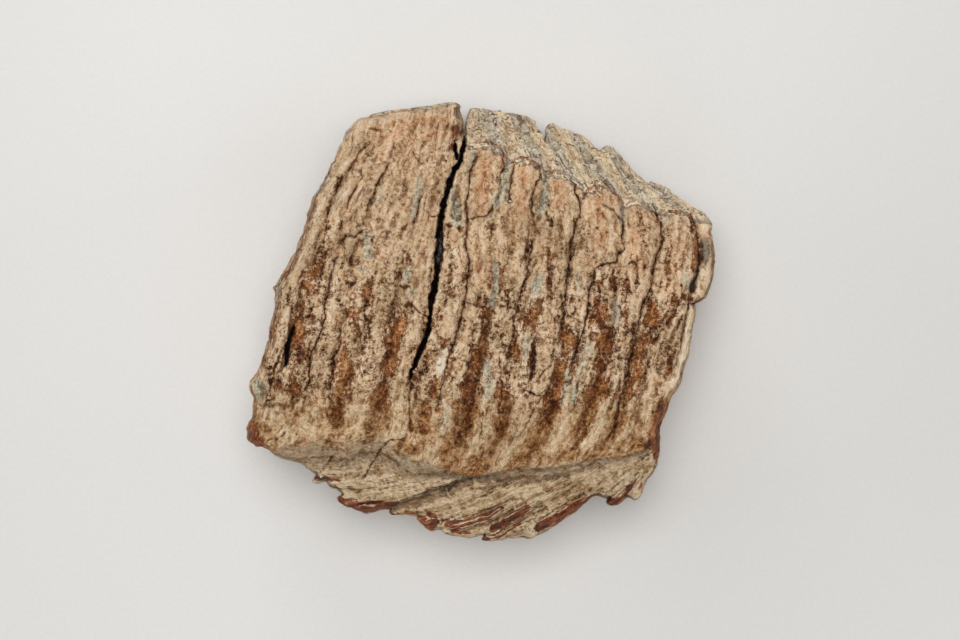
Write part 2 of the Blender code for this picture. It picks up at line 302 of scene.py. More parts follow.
# (x, y, height of the widest level, run of the slope above it in units, how far the foot is tucked in)
STATIONS = [
    (345, 130, 58, 6, 10), (400, 108, 60, 5, 7), (457, 102, 60, 4, 6), (466, 112, 12, 6, 5),
    (535, 121, 11, 2, 6), (600, 150, 11, 2, 6), (650, 182, 12, 2, 7), (703, 209, 30, 4, 12),
    (714, 252, 40, 4, 20), (706, 298, 40, 4, 20), (694, 322, 40, 5, 22), (672, 400, 39, 5, 24),
    (657, 455, 38, 5, 25), (632, 499, 38, 4, 26), (590, 497, 37, 4, 24), (540, 533, 36, 4, 26),
    (490, 540, 35, 4, 28), (445, 533, 36, 4, 27), (400, 514, 37, 5, 26), (345, 505, 38, 5, 26),
    (317, 480, 39, 5, 24), (270, 452, 40, 5, 24), (248, 435, 42, 5, 22), (252, 390, 43, 6, 20),
    (270, 330, 44, 7, 18), (286, 268, 45, 7, 18), (302, 235, 47, 7, 16), (330, 168, 52, 7, 12),
]
CHEWING_EDGE = [
    (440, 100), (458, 120), (465, 143), (478, 142), (490, 144), (503, 149), (508, 158), (514, 157),
    (526, 156), (540, 163), (546, 171), (552, 171), (562, 171), (575, 179), (584, 186), (592, 185),
    (605, 183), (615, 189), (624, 202), (632, 200), (641, 200), (652, 207), (660, 214), (668, 211),
    (680, 211), (693, 217), (700, 220), (730, 226),
]
FAR_EDGE = [
    (440, 103), (472, 105), (500, 108), (535, 117), (560, 125), (590, 138), (610, 145), (630, 163),
    (650, 179), (680, 196), (705, 209), (730, 222),
]
CREASE = [
    (236, 470), (270, 461), (300, 455), (330, 452), (345, 456), (360, 449), (380, 448), (395, 458),
    (410, 469), (440, 472), (470, 478), (500, 474), (520, 469), (550, 470), (575, 464), (600, 460),
    (622, 459), (640, 453), (656, 446), (700, 436),
]
# where the plates meet, from the chewing edge down to the roots
GUIDES = [
    [(352, 90), (340, 150), (320, 190), (305, 220), (285, 270), (275, 300), (268, 340), (258, 365), (250, 400), (240, 440), (215, 480), (180, 556)],
    [(378, 90), (362, 150), (342, 182), (320, 235), (298, 305), (286, 355), (272, 400), (262, 440), (235, 480), (195, 556)],
    [(410, 90), (388, 160), (367, 207), (353, 260), (334, 350), (312, 390), (300, 440), (275, 480), (235, 556)],
    [(440, 90), (425, 160), (416, 218), (401, 270), (390, 345), (378, 420), (362, 455), (335, 485), (290, 556)],
    [(465, 90), (455, 165), (440, 220), (431, 300), (420, 360), (412, 420), (398, 462), (370, 490), (320, 556)],
    [(505, 90), (503, 150), (500, 185), (490, 230), (492, 305), (480, 360), (466, 425), (450, 465), (425, 492), (365, 556)],
    [(536, 90), (540, 165), (536, 240), (524, 320), (512, 390), (503, 430), (488, 466), (462, 495), (405, 556)],
    [(566, 90), (570, 172), (574, 230), (566, 290), (558, 370), (545, 420), (525, 465), (498, 497), (440, 556)],
    [(605, 90), (613, 190), (618, 255), (613, 325), (600, 380), (581, 425), (556, 462), (528, 498), (470, 556)],
    [(645, 90), (653, 200), (658, 250), (638, 330), (624, 390), (613, 430), (590, 460), (562, 495), (505, 556)],
    [(690, 90), (693, 220), (694, 280), (668, 345), (650, 400), (638, 440), (622, 460), (595, 492), (540, 556)],
    [(730, 90), (732, 220), (733, 290), (705, 345), (688, 400), (675, 440), (660, 465), (635, 495), (580, 556)],
]
# broad furrows between plates on the upper face: (x, y, half width, depth in mm)
FURROWS = [
    [(366, 148, 4, 0.7), (342, 182, 5, 1.2), (320, 235, 6, 1.5), (298, 305, 6, 1.7), (286, 355, 7, 2.2), (276, 378, 6, 1.8), (266, 402, 6, 0.6)],
    [(361, 170, 3, 0.7), (347, 208, 4, 0.9), (338, 258, 4, 0.9), (325, 305, 5, 1.1), (311, 360, 6, 1.3), (302, 398, 7, 0.9), (292, 428, 8, 0.4)],
    [(392, 158, 3, 0.7), (374, 193, 5, 1.3), (363, 230, 5, 1.2), (353, 262, 5, 1.0), (345, 310, 5, 1.1), (333, 372, 6, 1.4), (329, 400, 6, 1.0)],
    [(372, 282, 5, 0.9), (365, 320, 6, 1.3), (353, 365, 7, 1.7), (345, 400, 9, 2.1), (336, 428, 9, 1.6), (328, 446, 8, 0.6)],
    [(420, 190, 3, 1.0), (416, 220, 4, 1.0), (405, 250, 5, 1.0), (400, 280, 5, 1.1), (392, 325, 7, 1.5), (384, 380, 8, 1.9), (376, 420, 10, 2.1), (368, 440, 9, 1.0)],
    [(456, 150, 6, 1.0), (446, 190, 6, 1.4), (438, 245, 7, 1.5), (431, 300, 6, 1.3), (422, 355, 7, 1.4), (412, 385, 7, 1.3), (424, 410, 9, 1.9), (420, 440, 9, 1.4), (412, 458, 8, 0.7)],
    [(476, 158, 4, 0.9), (467, 190, 4, 0.9), (467, 250, 4, 1.0), (463, 310, 5, 1.2), (452, 350, 6, 1.2), (440, 395, 6, 1.1), (434, 420, 5, 0.5)],
    [(506, 160, 5, 1.3), (500, 195, 6, 1.4), (492, 222, 5, 1.0), (494, 280, 5, 0.7), (486, 335, 7, 1.3), (474, 375, 9, 2.0), (468, 415, 11, 2.5), (458, 450, 10, 1.6), (448, 466, 8, 0.8)],
    [(513, 172, 4, 1.0), (511, 192, 4, 0.8)],
    [(544, 168, 5, 1.4), (540, 205, 7, 1.4), (530, 245, 6, 1.3), (524, 290, 6, 1.3), (514, 335, 6, 1.1), (506, 375, 7, 1.6), (505, 410, 9, 2.3), (500, 438, 9, 1.8), (488, 462, 8, 0.8)],
    [(541, 310, 5, 1.0), (535, 350, 6, 1.2), (530, 380, 6, 0.8), (527, 420, 5, 0.6), (520, 440, 5, 0.4)],
    [(573, 172, 5, 1.2), (581, 208, 5, 1.4), (573, 240, 6, 1.5), (568, 280, 6, 1.3), (562, 330, 8, 1.6), (558, 375, 9, 2.2), (547, 420, 11, 2.5), (532, 452, 10, 1.6), (518, 466, 8, 0.7)],
    [(585, 190, 5, 1.0), (582, 200, 4, 0.6)],
    [(593, 275, 5, 1.2), (585, 325, 6, 1.3), (574, 365, 5, 1.0), (566, 395, 5, 0.6)],
    [(620, 198, 5, 1.2), (623, 228, 5, 1.4), (618, 262, 5, 1.2), (613, 310, 6, 1.2), (606, 350, 8, 1.7), (598, 385, 9, 2.2), (584, 425, 10, 2.3), (568, 450, 9, 1.2), (556, 462, 8, 0.6)],
    [(655, 208, 5, 1.4), (661, 235, 5, 1.4), (653, 275, 5, 1.3), (640, 320, 6, 1.3), (629, 370, 7, 1.6), (618, 415, 8, 2.2), (604, 445, 8, 1.2), (592, 456, 7, 0.6)],
    [(697, 222, 4, 1.0), (699, 265, 4, 1.6), (693, 285, 5, 1.6), (668, 315, 7, 1.4), (655, 345, 8, 1.5), (644, 385, 8, 2.0), (634, 420, 8, 1.8), (622, 446, 8, 0.9)],
]
# swellings on the upper face: (x, y, half width, height)
SWELLINGS = [
    [(262, 408, 12, 1.0), (300, 432, 20, 1.6), (340, 442, 12, 1.0)],
    [(352, 398, 6, 0.6), (352, 425, 8, 0.9)],
    [(400, 395, 7, 0.8), (398, 425, 9, 1.1), (392, 444, 8, 0.9)],
    [(447, 410, 7, 0.8), (441, 440, 9, 1.2), (432, 460, 8, 0.8)],
    [(488, 400, 8, 0.9), (484, 430, 8, 1.1), (475, 455, 8, 0.9)],
    [(527, 410, 7, 0.8), (520, 435, 9, 1.3), (508, 458, 8, 0.9)],
    [(568, 410, 7, 0.8), (562, 436, 9, 1.3), (545, 458, 8, 0.8)],
    [(603, 405, 6, 0.8), (598, 430, 8, 1.2), (582, 450, 7, 0.7)],
    [(636, 400, 5, 0.7), (630, 430, 7, 1.1), (615, 448, 6, 0.6)],
    [(655, 375, 5, 0.8), (648, 405, 6, 0.9), (642, 432, 6, 0.7)],
    [(490, 155, 7, 0.6), (485, 200, 7, 0.5)],
    [(527, 168, 8, 0.7), (522, 215, 8, 0.5)],
    [(562, 182, 8, 0.7), (562, 225, 8, 0.5)],
    [(604, 196, 9, 0.8), (600, 240, 9, 0.6)],
    [(641, 212, 7, 0.7), (638, 260, 8, 0.5)],
    [(680, 222, 8, 0.8), (678, 270, 8, 0.6)],
]
# open and closed cracks: (x, y, half width), with a depth in mm for each crack
CRACKS = [
    (11.0, [(464.5, 128, 1.8), (465, 140, 1.8), (463.5, 150, 2.2), (461, 160, 2.6), (456, 168, 2.3), (451, 180, 2.7), (446.5, 195, 2.5), (442, 210, 2.3), (440, 230, 3.0), (439, 250, 4.0), (438.5, 264, 3.4), (436.5, 280, 2.3), (432, 295, 2.8), (430.5, 310, 1.8), (429.5, 325, 1.7), (427, 335, 2.0), (421, 350, 2.8), (416, 360, 2.4), (412, 370, 1.4), (409.5, 379, 1.0)]),
    (7.0, [(454, 141, 0.8), (454, 148, 1.6), (456, 158, 2.2)]),
    (1.6, [(409.5, 379, 0.9), (411, 386, 0.9), (409, 395, 1.3), (409.5, 410, 1.2), (410, 430, 0.8)]),
    (1.2, [(413, 307, 0.9), (418, 312, 1.1), (428, 316, 1.4)]),
    (1.0, [(431, 217, 0.8), (440, 215, 1.0)]),
    (2.4, [(476, 158, 1.6), (470, 170, 1.2), (469, 188, 1.0), (466, 205, 1.5), (468, 222, 1.8), (465, 240, 1.0), (469, 260, 1.4), (467, 285, 1.4), (464, 305, 1.3), (462, 315, 1.8), (459, 325, 2.2), (455, 337, 2.2), (451, 350, 1.8), (447, 364, 1.4), (443, 380, 1.3), (439, 400, 1.0), (436, 410, 0.7)]),
    (1.8, [(467, 220, 1.2), (478, 217, 1.0), (487, 216, 1.1), (490, 211, 1.6), (493, 206, 1.4)]),
    (1.2, [(503, 150, 1.1), (504, 165, 1.3), (501, 177, 1.0), (498, 188, 0.8)]),
    (2.0, [(514, 166, 1.5), (511, 185, 1.4), (509, 200, 0.8)]),
    (1.8, [(539, 165, 1.0), (540, 175, 1.0), (535, 188, 1.3), (532, 200, 1.8), (531, 210, 1.6), (534, 216, 0.8)]),
    (2.4, [(534, 240, 0.9), (531, 250, 1.5), (529, 262, 1.7), (526, 278, 1.6), (521, 290, 1.5), (517, 303, 1.6), (514, 318, 1.7), (514, 336, 1.0)]),
    (1.4, [(463, 302, 1.2), (475, 304, 1.1), (485, 308, 0.9)]),
    (1.0, [(500, 306, 0.9), (508, 307, 0.8), (517, 309, 1.0)]),
    (2.6, [(560, 158, 1.6), (566, 167, 1.6), (571, 170, 1.8), (573, 183, 2.0), (576, 193, 1.4), (581, 205, 1.2), (579, 218, 1.7), (574, 228, 2.3), (571, 240, 2.4), (571, 256, 2.2), (569, 270, 1.9), (566, 284, 1.7), (566, 298, 1.1), (563, 312, 1.0), (561, 335, 0.8)]),
    (2.6, [(620, 252, 0.9), (616, 262, 1.2), (604, 264, 1.1), (595, 269, 1.4), (592, 282, 1.8), (589, 300, 1.8), (586, 318, 1.9), (583, 333, 1.8), (578, 345, 1.6), (573, 360, 1.2), (569, 375, 0.9)]),
    (1.4, [(604, 205, 0.6), (618, 215, 0.7), (623, 222, 1.2), (622, 235, 1.2), (624, 248, 0.8), (618, 257, 1.0)]),
    (2.6, [(653, 205, 1.4), (657, 216, 2.1), (661, 226, 1.9), (662, 240, 1.3), (657, 255, 1.1), (653, 268, 1.1), (652, 285, 1.0), (648, 295, 1.4), (643, 302, 1.8), (641, 313, 1.7), (638, 325, 1.4), (634, 342, 1.2), (630, 360, 1.5), (628, 372, 1.2), (624, 388, 1.4), (619, 403, 1.2), (617, 418, 1.0), (612, 438, 0.8)]),
    (1.5, [(617, 358, 1.0), (625, 358, 1.1), (631, 361, 1.3)]),
    (1.8, [(665, 303, 1.0), (672, 301, 1.5), (680, 304, 1.3), (690, 304, 1.2), (698, 303, 1.2)]),
    (3.2, [(696, 232, 1.2), (699, 245, 1.6), (699.5, 262, 2.0), (697, 275, 2.0), (693, 284, 2.4), (691, 292, 1.8)]),
    (1.4, [(365, 147, 1.3), (358, 153, 1.5), (354, 162, 1.2), (350, 170, 0.9)]),
    (1.6, [(342, 176, 1.4), (341, 184, 1.4), (336, 192, 1.5), (331, 200, 1.2), (327, 212, 0.9)]),
    (1.3, [(361, 170, 1.2), (362, 176, 1.3), (357, 186, 0.8), (351, 196, 1.2), (347, 207, 1.1)]),
    (1.3, [(342, 221, 1.3), (341, 230, 1.0)]),
    (1.3, [(341, 239, 0.7), (345, 236, 1.1), (352, 236, 1.0), (357, 237, 1.1), (361, 231, 1.0)]),
    (1.9, [(337, 258, 1.3), (334, 265, 1.5), (331, 278, 1.2), (329, 290, 1.4), (326, 300, 1.4), (324, 306, 1.1), (326, 316, 1.3), (322, 328, 1.5), (319, 338, 1.4), (314, 347, 1.2), (310, 358, 1.0), (310, 372, 1.5), (309, 383, 1.5), (304, 392, 1.3), (300, 397, 1.0)]),
    (1.5, [(389, 164, 0.9), (384, 172, 1.5), (379, 181, 1.5), (374, 192, 0.9), (370, 203, 1.3), (366, 210, 1.0)]),
    (1.5, [(421, 197, 0.8), (419, 205, 1.5), (417, 214, 1.7), (415, 222, 1.0)]),
    (1.3, [(364, 305, 0.8), (366, 315, 1.2), (364, 327, 1.1), (360, 342, 0.8)]),
    (1.3, [(341, 328, 0.7), (340, 345, 0.9), (334, 357, 1.4), (333, 375, 1.5), (330, 390, 1.0)]),
    (6.0, [(293, 327, 1.1), (291, 335, 1.8), (288, 345, 2.5), (286.5, 356, 2.5), (287, 364, 1.5)]),
    (1.6, [(287, 364, 1.3), (282, 369, 1.2), (277, 373, 0.9)]),
    (1.6, [(271, 376, 1.0), (270, 384, 0.8), (271, 398, 1.1), (265, 402, 0.8)]),
    (1.5, [(500, 352, 0.7), (500, 370, 1.1), (502, 385, 1.2), (501, 400, 1.2), (499, 412, 0.9)]),
    (1.5, [(524, 390, 1.0), (531, 393, 1.3), (538, 395, 1.3), (543, 391, 1.0), (549, 389, 0.7)]),
    (1.2, [(549, 366, 1.2), (543, 373, 0.9), (537, 381, 0.6)]),
    (1.1, [(540, 400, 0.7), (532, 413, 1.0), (527, 424, 0.8), (521, 434, 0.6)]),
    (1.1, [(577, 385, 1.2), (577, 394, 1.0), (574, 404, 0.8)]),
    (1.2, [(333, 455, 0.9), (329, 462, 1.0), (324, 468, 0.9), (319, 474, 0.7)]),
    (1.4, [(406, 438, 0.8), (398, 440, 1.0), (390, 440, 1.0), (384, 446, 1.1), (377, 453, 1.2), (373, 462, 1.2), (367, 471, 1.2), (363, 478, 0.9)]),
    (1.0, [(456, 480, 1.0), (451, 488, 0.8)]),
    (1.2, [(370, 128, 0.9), (380, 131, 0.9)]),
    (0.6, [(413, 153, 0.6), (418, 159, 0.7), (422, 165, 0.6), (427, 160, 0.5)]),
    (1.0, [(340, 150, 0.7), (328, 175, 0.9), (318, 193, 1.0), (311, 215, 0.9), (302, 240, 0.9), (290, 270, 0.7), (282, 290, 0.9), (276, 315, 0.9), (269, 338, 1.1), (263, 355, 1.2), (260, 366, 1.0)]),
    (1.3, [(688, 306, 0.9), (685, 322, 1.0), (681, 342, 0.9), (676, 362, 0.9), (670, 380, 0.8)]),
    (1.2, [(484, 413, 1.0), (481, 425, 1.1), (479, 440, 0.9)]),
    (1.0, [(347, 235, 0.6), (340, 243, 0.6)]),
    (1.2, [(692, 217, 0.8), (696, 228, 1.0)]),
    (1.2, [(246, 432, 0.6), (262, 441, 0.7), (276, 439, 0.9), (285, 433, 0.6)]),
    # between the rods of the root band
    (1.3, [(386, 507, 0.6), (395, 503, 0.9), (405, 499, 1.1), (420, 493.5, 1.2), (435, 487.5, 1.2), (447, 483.5, 1.0), (458, 480, 0.6)]),
    (1.2, [(441, 520.5, 0.7), (452, 520, 1.0), (470, 515.5, 0.9), (486, 509.5, 1.0), (500, 503.5, 0.8), (514, 497, 0.5)]),
    (1.2, [(449, 529.5, 0.8), (465, 528.5, 1.0), (482, 523, 1.0), (497, 515, 0.9), (512, 506, 0.6)]),
    (1.2, [(488, 528.5, 0.8), (500, 524, 0.9), (510, 517.5, 1.0), (522, 508, 1.0), (535, 501, 0.6)]),
    (1.2, [(486, 536, 0.9), (500, 532, 1.1), (512, 524, 1.0), (524, 516, 0.9), (540, 506, 0.6)]),
    (1.2, [(526, 521, 0.8), (533, 519, 1.1), (537, 524, 1.0), (536, 530, 0.7)]),
    (1.1, [(541, 518, 0.8), (556, 509, 0.9), (570, 500, 0.9), (584, 494, 0.6)]),
    (1.2, [(607, 498, 0.7), (616, 494, 1.0), (626, 486, 0.9), (638, 474, 0.7)]),
    (1.2, [(625, 495, 0.8), (633, 488, 0.9), (643, 476, 0.7)]),
    (1.0, [(330, 486, 0.7), (343, 489, 0.8), (358, 490, 0.7), (376, 487, 0.5)]),
    # on the worn end
    (1.6, [(570, 131, 1.0), (573, 141, 1.3), (579, 150, 1.2), (583, 158, 1.0)]),
    (1.6, [(547, 142, 1.6), (552, 150, 1.4), (557, 156, 1.2)]),
    (1.8, [(603, 155, 1.1), (609, 163, 1.7), (617, 172, 1.4), (626, 180, 0.9), (640, 190, 0.8)]),
    (1.4, [(588, 163, 1.2), (597, 172, 1.2), (608, 182, 0.9), (618, 192, 0.8)]),
    (1.2, [(651, 186, 1.0), (661, 192, 1.0), (672, 200, 0.8), (688, 209, 0.7)]),
]
# bare brown enamel: (x, y, half width, strength)
BARE = [
    [(457, 131, 7, 1.0), (451, 145, 4, 0.7)], [(448, 150, 3, 0.7), (446, 160, 3, 0.6)],
    [(366, 141, 5, 0.5), (372, 138, 4, 0.6)], [(367, 155, 4, 0.7)], [(353, 169, 4, 0.5)], [(405, 142, 10, 0.35), (430, 141, 6, 0.35)],
    [(339, 180, 3, 0.8), (332, 194, 4, 0.8)], [(329, 208, 4, 1.0), (326, 215, 4, 1.0)], [(330, 226, 5, 1.0), (338, 222, 5, 0.9)],
    [(325, 240, 5, 0.7), (322, 255, 6, 0.8)], [(320, 262, 8, 1.0), (314, 275, 7, 1.0)], [(312, 288, 6, 1.0), (305, 284, 4, 0.9)],
    [(303, 305, 4, 0.9), (299, 330, 4, 0.9), (297, 352, 4, 0.7)], [(315, 316, 4, 0.9)], [(290, 290, 3, 0.7), (284, 305, 3, 0.6), (270, 338, 3, 0.6), (262, 362, 4, 0.9)],
    [(404, 228, 4, 1.0)], [(373, 239, 4, 1.0)], [(365, 226, 3, 0.8)], [(388, 234, 6, 0.6)], [(350, 258, 6, 0.5)],
    [(368, 278, 5, 0.9), (366, 298, 5, 0.9)], [(358, 310, 8, 0.9), (350, 313, 6, 0.8)], [(405, 252, 4, 0.7), (408, 262, 4, 0.6)],
    [(402, 287, 2.5, 0.9), (410, 286, 2, 0.8)], [(408, 306, 5, 0.7)], [(449, 226, 4, 1.0), (463, 229, 4, 1.0)],
    [(452, 245, 5, 0.5), (450, 275, 7, 0.7), (446, 300, 6, 0.7)], [(432, 382, 3, 0.6)], [(345, 350, 4, 0.9), (345, 372, 5, 1.0), (341, 393, 5, 0.9)],
    [(337, 411, 7, 1.0), (333, 426, 6, 0.9)], [(303, 318, 5, 0.7), (301, 345, 6, 0.8), (296, 372, 6, 0.6)],
    [(399, 325, 8, 0.9), (393, 345, 10, 1.0), (390, 368, 8, 1.0)], [(384, 388, 6, 1.0), (378, 403, 5, 1.0)], [(390, 410, 7, 0.7), (386, 400, 4, 0.6)],
    [(364, 424, 4, 0.8), (377, 427, 5, 0.9), (390, 428, 3, 0.9)], [(372, 436, 8, 0.5)], [(438, 383, 4, 1.0), (434, 394, 4, 0.9)],
    [(428, 408, 6, 0.8), (424, 428, 7, 1.0)], [(446, 342, 5, 1.0)], [(473, 378, 7, 0.9), (471, 402, 7, 0.9), (467, 428, 8, 0.9)],
    [(482, 349, 7, 0.9), (478, 364, 8, 1.0)], [(296, 390, 8, 0.9)], [(292, 405, 6, 0.6)], [(252, 426, 7, 1.4), (255, 440, 7, 1.4)], [(263, 427, 4, 0.9), (271, 429, 3, 0.8)],
    [(403, 444, 6, 0.9), (411, 448, 5, 0.8)], [(447, 448, 6, 0.8), (443, 460, 5, 0.8)], [(480, 450, 8, 0.7), (476, 462, 6, 0.8)],
    [(388, 455, 6, 0.7)], [(342, 462, 12, 0.5), (366, 462, 10, 0.5)], [(505, 395, 4, 0.8), (503, 415, 6, 1.0), (502, 432, 6, 0.9)], [(520, 415, 5, 0.7)],
    [(535, 308, 7, 1.0), (532, 322, 8, 1.0)], [(533, 345, 3, 0.9), (531, 366, 4, 0.9)], [(515, 345, 4, 0.6), (515, 358, 4, 0.6)],
    [(565, 332, 5, 0.9), (571, 346, 6, 1.0)], [(566, 352, 4, 0.9)], [(562, 366, 5, 0.8), (560, 388, 8, 1.0), (551, 408, 8, 1.0), (545, 428, 8, 0.9), (537, 446, 8, 0.8)],
    [(594, 336, 6, 0.9), (606, 344, 10, 1.0), (612, 350, 6, 0.9)], [(603, 362, 5, 0.6), (600, 385, 7, 0.9), (594, 402, 8, 0.9), (586, 425, 7, 0.8), (578, 448, 6, 0.7)],
    [(645, 338, 9, 1.0), (638, 356, 7, 0.9), (632, 382, 7, 0.9), (629, 398, 5, 0.7)], [(652, 306, 8, 0.9), (652, 322, 8, 0.9)], [(673, 300, 7, 0.6), (690, 298, 4, 0.6)],
    [(620, 418, 5, 0.8), (614, 438, 6, 0.9)], [(634, 450, 5, 0.9), (643, 446, 6, 1.0)], [(665, 404, 6, 1.3), (658, 420, 8, 1.4), (655, 440, 7, 1.4)],
    [(605, 452, 6, 0.9)], [(524, 458, 8, 0.7), (545, 456, 6, 0.7)], [(560, 456, 8, 0.7), (598, 455, 7, 0.7), (622, 454, 6, 0.7)], [(508, 464, 6, 0.6)], [(455, 470, 8, 0.7), (480, 472, 8, 0.7)],
    [(484, 142, 3, 0.7), (494, 145, 4, 1.0), (501, 151, 3, 1.0)], [(499, 163, 3, 0.6), (497, 182, 3, 0.5), (493, 200, 3, 0.5)],
    [(516, 159, 2.5, 1.0), (528, 161, 3.5, 1.0), (537, 167, 3.5, 1.0)], [(551, 172, 2.2, 1.0), (562, 173, 2.4, 1.0), (571, 177, 3, 1.0)],
    [(592, 186, 3, 0.8), (604, 185, 3, 0.8), (614, 191, 3, 0.7)], [(631, 203, 4, 0.9), (642, 204, 4, 0.8)], [(669, 213, 3, 0.9), (681, 213, 3, 0.9), (690, 217, 3, 0.8)],
    [(579, 178, 3, 0.7), (588, 177, 3, 0.8)], [(552, 186, 5, 0.7), (548, 204, 4, 0.7), (550, 225, 5, 0.8)], [(575, 184, 3, 0.7), (577, 196, 3, 0.5)],
    [(503, 221, 4, 0.9)], [(490, 227, 4, 0.7), (498, 228, 3, 0.6)], [(531, 238, 4, 0.6), (527, 250, 4, 0.8), (523, 262, 4, 0.6)], [(550, 252, 5, 0.8), (552, 270, 5, 0.8), (549, 285, 4, 0.6)],
    [(588, 228, 7, 0.5), (598, 226, 5, 0.5)], [(590, 254, 7, 0.6)], [(614, 268, 4, 0.8), (613, 288, 4, 1.0)], [(602, 285, 8, 0.6), (601, 308, 9, 0.8), (598, 325, 7, 0.8)],
    [(625, 283, 5, 0.8), (628, 292, 4, 0.7)], [(638, 212, 7, 0.5), (644, 240, 8, 0.5)], [(635, 262, 6, 0.5)], [(667, 250, 4, 0.8), (668, 272, 4, 0.9)],
    [(691, 222, 3, 0.8), (695, 240, 3.5, 1.0), (696, 258, 3, 1.0), (693, 270, 3, 0.8)], [(665, 232, 4, 0.6)], [(502, 268, 4, 0.7), (502, 288, 4, 0.6)], [(489, 284, 5, 0.6), (487, 300, 4, 0.5)], [(486, 315, 5, 0.6), (484, 335, 6, 0.6)],
    [(562, 300, 3, 0.5), (558, 320, 4, 0.5)], [(655, 284, 3, 0.5)], [(684, 330, 3, 0.5), (675, 350, 3, 0.7), (668, 375, 4, 0.7)], [(428, 250, 2, 0.3), (424, 290, 3, 0.4)],
    [(445, 170, 3, 0.5), (441, 190, 3, 0.5)], [(400, 190, 5, 0.35), (402, 215, 5, 0.4)], [(412, 348, 3, 0.3)], [(352, 285, 6, 0.5)], [(339, 300, 3, 0.4)], [(428, 330, 2, 0.3)],
]
# brown enamel edges of the plates at their worn tops: (x, y, half width)
ARCS = [
    [(475, 143, 1.0), (484, 141.5, 1.3), (492, 143, 1.5), (499, 147, 1.6), (503, 153, 1.5), (503, 166, 1.0), (500, 180, 0.7)],
    [(512, 163, 0.9), (516, 158, 1.4), (523, 157.5, 1.6), (531, 160, 1.7), (538, 165, 1.5), (540, 174, 1.1), (538, 186, 0.7)],
    [(549, 174, 1.0), (555, 171, 1.4), (563, 172, 1.6), (569, 176, 1.5), (574, 184, 1.3), (578, 196, 1.0)],
    [(583, 200, 0.8), (586, 191, 1.2), (594, 187, 1.5), (604, 185, 1.6), (612, 189, 1.5), (618, 197, 1.3), (621, 210, 1.0)],
    [(624, 208, 0.9), (630, 202, 1.3), (640, 201, 1.6), (648, 206, 1.5), (653, 214, 1.2), (657, 226, 0.9)],
    [(662, 217, 0.9), (669, 212, 1.4), (681, 211.5, 1.6), (690, 216, 1.6), (695, 226, 1.6), (697, 242, 1.5), (697, 258, 1.3), (694, 272, 1.0)],
]
# heavier dust coat: (x, y, half width, strength)
DUSTY = [
    [(704, 218, 6, 0.7), (708, 236, 5, 0.7)], [(708, 270, 5, 0.8), (706, 294, 5, 0.7)], [(690, 316, 5, 0.9), (684, 340, 6, 0.9), (677, 366, 5, 0.9), (668, 394, 4, 0.7)],
    [(362, 182, 6, 0.5), (352, 215, 6, 0.5)], [(426, 180, 8, 0.6), (425, 225, 7, 0.6), (421, 275, 7, 0.5), (417, 330, 6, 0.5)], [(480, 240, 9, 0.5), (478, 285, 9, 0.4)],
    [(522, 190, 7, 0.5), (518, 240, 8, 0.4)], [(608, 200, 7, 0.6), (606, 222, 6, 0.6)], [(600, 242, 9, 0.4)], [(643, 275, 4, 0.5)], [(452, 312, 8, 0.7), (449, 330, 5, 0.5)],
    [(404, 345, 6, 0.6), (400, 395, 6, 0.6), (396, 425, 7, 0.7), (388, 445, 7, 0.6)], [(441, 425, 8, 0.7), (432, 450, 8, 0.8), (420, 466, 8, 0.6)], [(485, 425, 6, 0.6), (470, 452, 6, 0.6)],
    [(525, 405, 7, 0.6), (519, 432, 8, 0.9), (505, 455, 7, 0.8)], [(566, 408, 6, 0.5), (560, 436, 9, 0.9), (548, 450, 7, 0.8)], [(603, 405, 5, 0.6), (599, 428, 7, 0.8), (585, 446, 6, 0.7)],
    [(638, 400, 5, 0.5), (630, 430, 6, 0.7), (620, 442, 5, 0.6)], [(655, 350, 4, 0.4), (651, 385, 5, 0.6), (644, 415, 5, 0.6)], [(542, 330, 6, 0.5), (545, 362, 7, 0.7), (532, 400, 5, 0.5)],
    [(357, 395, 5, 0.5), (354, 425, 7, 0.6), (352, 442, 6, 0.5)], [(285, 428, 14, 0.7), (310, 440, 12, 0.6)], [(312, 405, 8, 0.5), (318, 430, 8, 0.5)], [(272, 408, 10, 0.7)],
    [(300, 200, 3, 0.2), (298, 262, 5, 0.5), (282, 300, 5, 0.5), (274, 335, 5, 0.5)], [(380, 125, 20, 0.3), (430, 118, 16, 0.3)], [(327, 310, 5, 0.2), (330, 345, 4, 0.3)],
]
